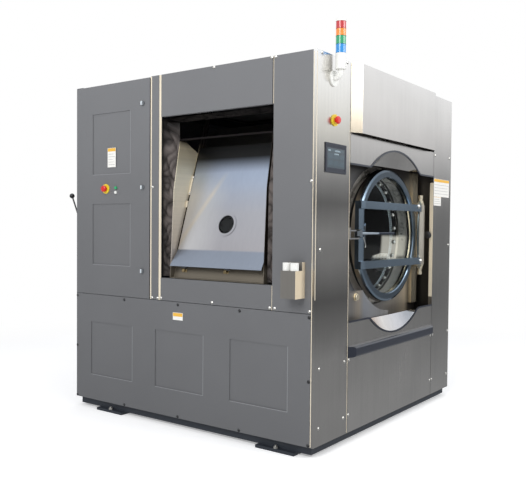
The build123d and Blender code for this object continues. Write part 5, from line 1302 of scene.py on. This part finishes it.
# Brightness of the sky that reflections see, by the height of the direction looked in
SKY = ((-0.4, 0.45), (-0.2, 0.4), (-0.1, 0.2), (-0.03, 0.3), (0.035, 0.16), (0.08, 0.7), (0.15, 1.35),
       (0.4, 1.3))
SKY_SWAY = 0.1


def studio_world():
    """White where the camera sees it, plain grey as light, and for reflections a sky over a dark horizon."""
    world = bpy.data.worlds.new("studio")
    world.use_nodes = True
    tree = world.node_tree
    link = tree.links.new
    plain = tree.nodes["Background"]
    set_values(plain, {"Color": (0.42, 0.43, 0.45, 1)})
    place = tree.nodes.new("ShaderNodeTexCoord").outputs["Generated"]
    cloud = tree.nodes.new("ShaderNodeTexNoise")
    set_values(cloud, {"Scale": 3.0})
    link(place, cloud.inputs["Vector"])
    height = maths(tree, "MULTIPLY_ADD", cloud.outputs["Fac"], SKY_SWAY, split_place(tree, place)["Z"])
    low, high = SKY[0][0], SKY[-1][0]
    rise = tree.nodes.new("ShaderNodeMapRange")
    set_values(rise, {"From Min": low + SKY_SWAY / 2, "From Max": high + SKY_SWAY / 2})
    link(height, rise.inputs["Value"])
    stops = [((level - low) / (high - low), (0.97 * tone, tone, 1.04 * tone)) for level, tone in SKY]
    sky = tree.nodes.new("ShaderNodeBackground")
    link(graded(tree, rise.outputs[0], stops), sky.inputs["Color"])
    white = tree.nodes.new("ShaderNodeBackground")
    set_values(white, {"Color": (1, 1, 1, 1)})
    path = tree.nodes.new("ShaderNodeLightPath").outputs
    mirrored = mixed(tree, path["Is Glossy Ray"], plain.outputs[0], sky.outputs[0])
    seen = mixed(tree, path["Is Camera Ray"], mirrored, white.outputs[0])
    link(seen, tree.nodes["World Output"].inputs["Surface"])
    return world


# The photo's camera, solved from the cabinet's corners: its three directions, its place and its lens
CAMERA_RIGHT = (0.807106, 0.590342, 0.008727)
CAMERA_UP = (-0.025146, 0.019604, 0.999492)
CAMERA_BACK = (0.589871, -0.806915, 0.030667)
CAMERA_PLACE = (2.79351, -3.87093, 1.17275)
CAMERA_LENS, CAMERA_SENSOR = 48.065, 36.0
FLOOR_HALF = 40.0
FADE_NEAR, FADE_FAR = 2.4, 4.6
# Lamps: name, place, size and share of the key light's power; all look at a point at the machine's middle
LAMPS = (
    ("key", (1.2, -6.2, 4.6), 3.4, 4.0),
    ("side_fill", (6.2, 0.8, 4.2), 3.0, 3.0),
    ("top", (0.0, 0.0, 6.0), 5.0, 2.0),
)
AIM = (0.0, 0.0, 1.0)


def photo_camera(scene):
    """Camera at the photo's place and angle."""
    lens = bpy.data.cameras.new("camera")
    lens.lens = CAMERA_LENS
    lens.sensor_width = CAMERA_SENSOR
    lens.clip_end = 60.0
    camera = bpy.data.objects.new("camera", lens)
    scene.collection.objects.link(camera)
    camera.matrix_world = Matrix((CAMERA_RIGHT, CAMERA_UP, CAMERA_BACK)).transposed().to_4x4()
    camera.location = CAMERA_PLACE
    scene.camera = camera


def studio_floor(scene):
    """Pale floor that fades into the background and takes the machine's shadow."""
    mesh = bpy.data.meshes.new("floor")
    corners = [(FLOOR_HALF * a, FLOOR_HALF * b, 0) for a, b in ((-1, -1), (1, -1), (1, 1), (-1, 1))]
    mesh.from_pydata(corners, [], [(0, 1, 2, 3)])
    floor = bpy.data.objects.new("floor", mesh)
    scene.collection.objects.link(floor)
    floor.visible_glossy = False
    material, _, shader = new_material("floor")
    set_values(shader, {"Base Color": (0.9, 0.9, 0.9, 1), "Roughness": 0.9, "Specular IOR Level": 0.0,
                        "Emission Color": (1, 1, 1, 1), "Emission Strength": 0.3})
    fade_floor(material, FADE_NEAR, FADE_FAR)
    mesh.materials.append(material)
    return floor


def studio_lamp(scene, name, place, size, power):
    """Square lamp at a place, turned to the machine."""
    lamp = bpy.data.lights.new(name, "AREA")
    lamp.size = size
    lamp.energy = power
    holder = bpy.data.objects.new(name, lamp)
    holder.location = place
    holder.rotation_euler = (Vector(AIM) - Vector(place)).to_track_quat("-Z", "Y").to_euler()
    scene.collection.objects.link(holder)
    return holder


class WASHER_OT_studio(bpy.types.Operator):
    """Camera, pale floor, plain light and white background"""

    bl_idname = "washer.studio"
    bl_label = "Studio"

    def execute(self, context):
        scene = context.scene
        photo_camera(scene)
        scene.view_settings.view_transform = "Standard"
        made = [studio_floor(scene)]
        for name, place, size, share in LAMPS:
            made.append(studio_lamp(scene, name, place, size, looks().key_light * share))
        scene.world = studio_world()
        return {"FINISHED"}


# All operators in the order in which they run
OPERATORS = (
    WASHER_OT_finishes, WASHER_OT_screws, WASHER_OT_anchors, WASHER_OT_seams, WASHER_OT_plates,
    WASHER_OT_screen, WASHER_OT_curtain, WASHER_OT_opening, WASHER_OT_recess, WASHER_OT_mouth_bolts,
    WASHER_OT_lever_hook, WASHER_OT_tower_rings, WASHER_OT_studio,
)


class WASHER_PT_panel(bpy.types.Panel):
    """Sizes and colours of the washer, and its steps in order"""

    bl_idname = "WASHER_PT_panel"
    bl_label = "Barrier washer"
    bl_space_type = "VIEW_3D"
    bl_region_type = "UI"
    bl_category = "Washer"

    def draw(self, context):
        for name in WasherLooks.__annotations__:
            self.layout.prop(context.scene.washer_looks, name)
        for operator in OPERATORS:
            self.layout.operator(operator.bl_idname)


CLASSES = (WasherLooks, *OPERATORS, WASHER_PT_panel)


def register():
    for made in CLASSES:
        bpy.utils.register_class(made)
    bpy.types.Scene.washer_looks = bpy.props.PointerProperty(type=WasherLooks)


def unregister():
    del bpy.types.Scene.washer_looks
    for made in reversed(CLASSES):
        bpy.utils.unregister_class(made)


def main():
    register()
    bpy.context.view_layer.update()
    for operator in OPERATORS:
        group_name, name = operator.bl_idname.split(".")
        getattr(getattr(bpy.ops, group_name), name)()


if __name__ == "__main__":
    main()
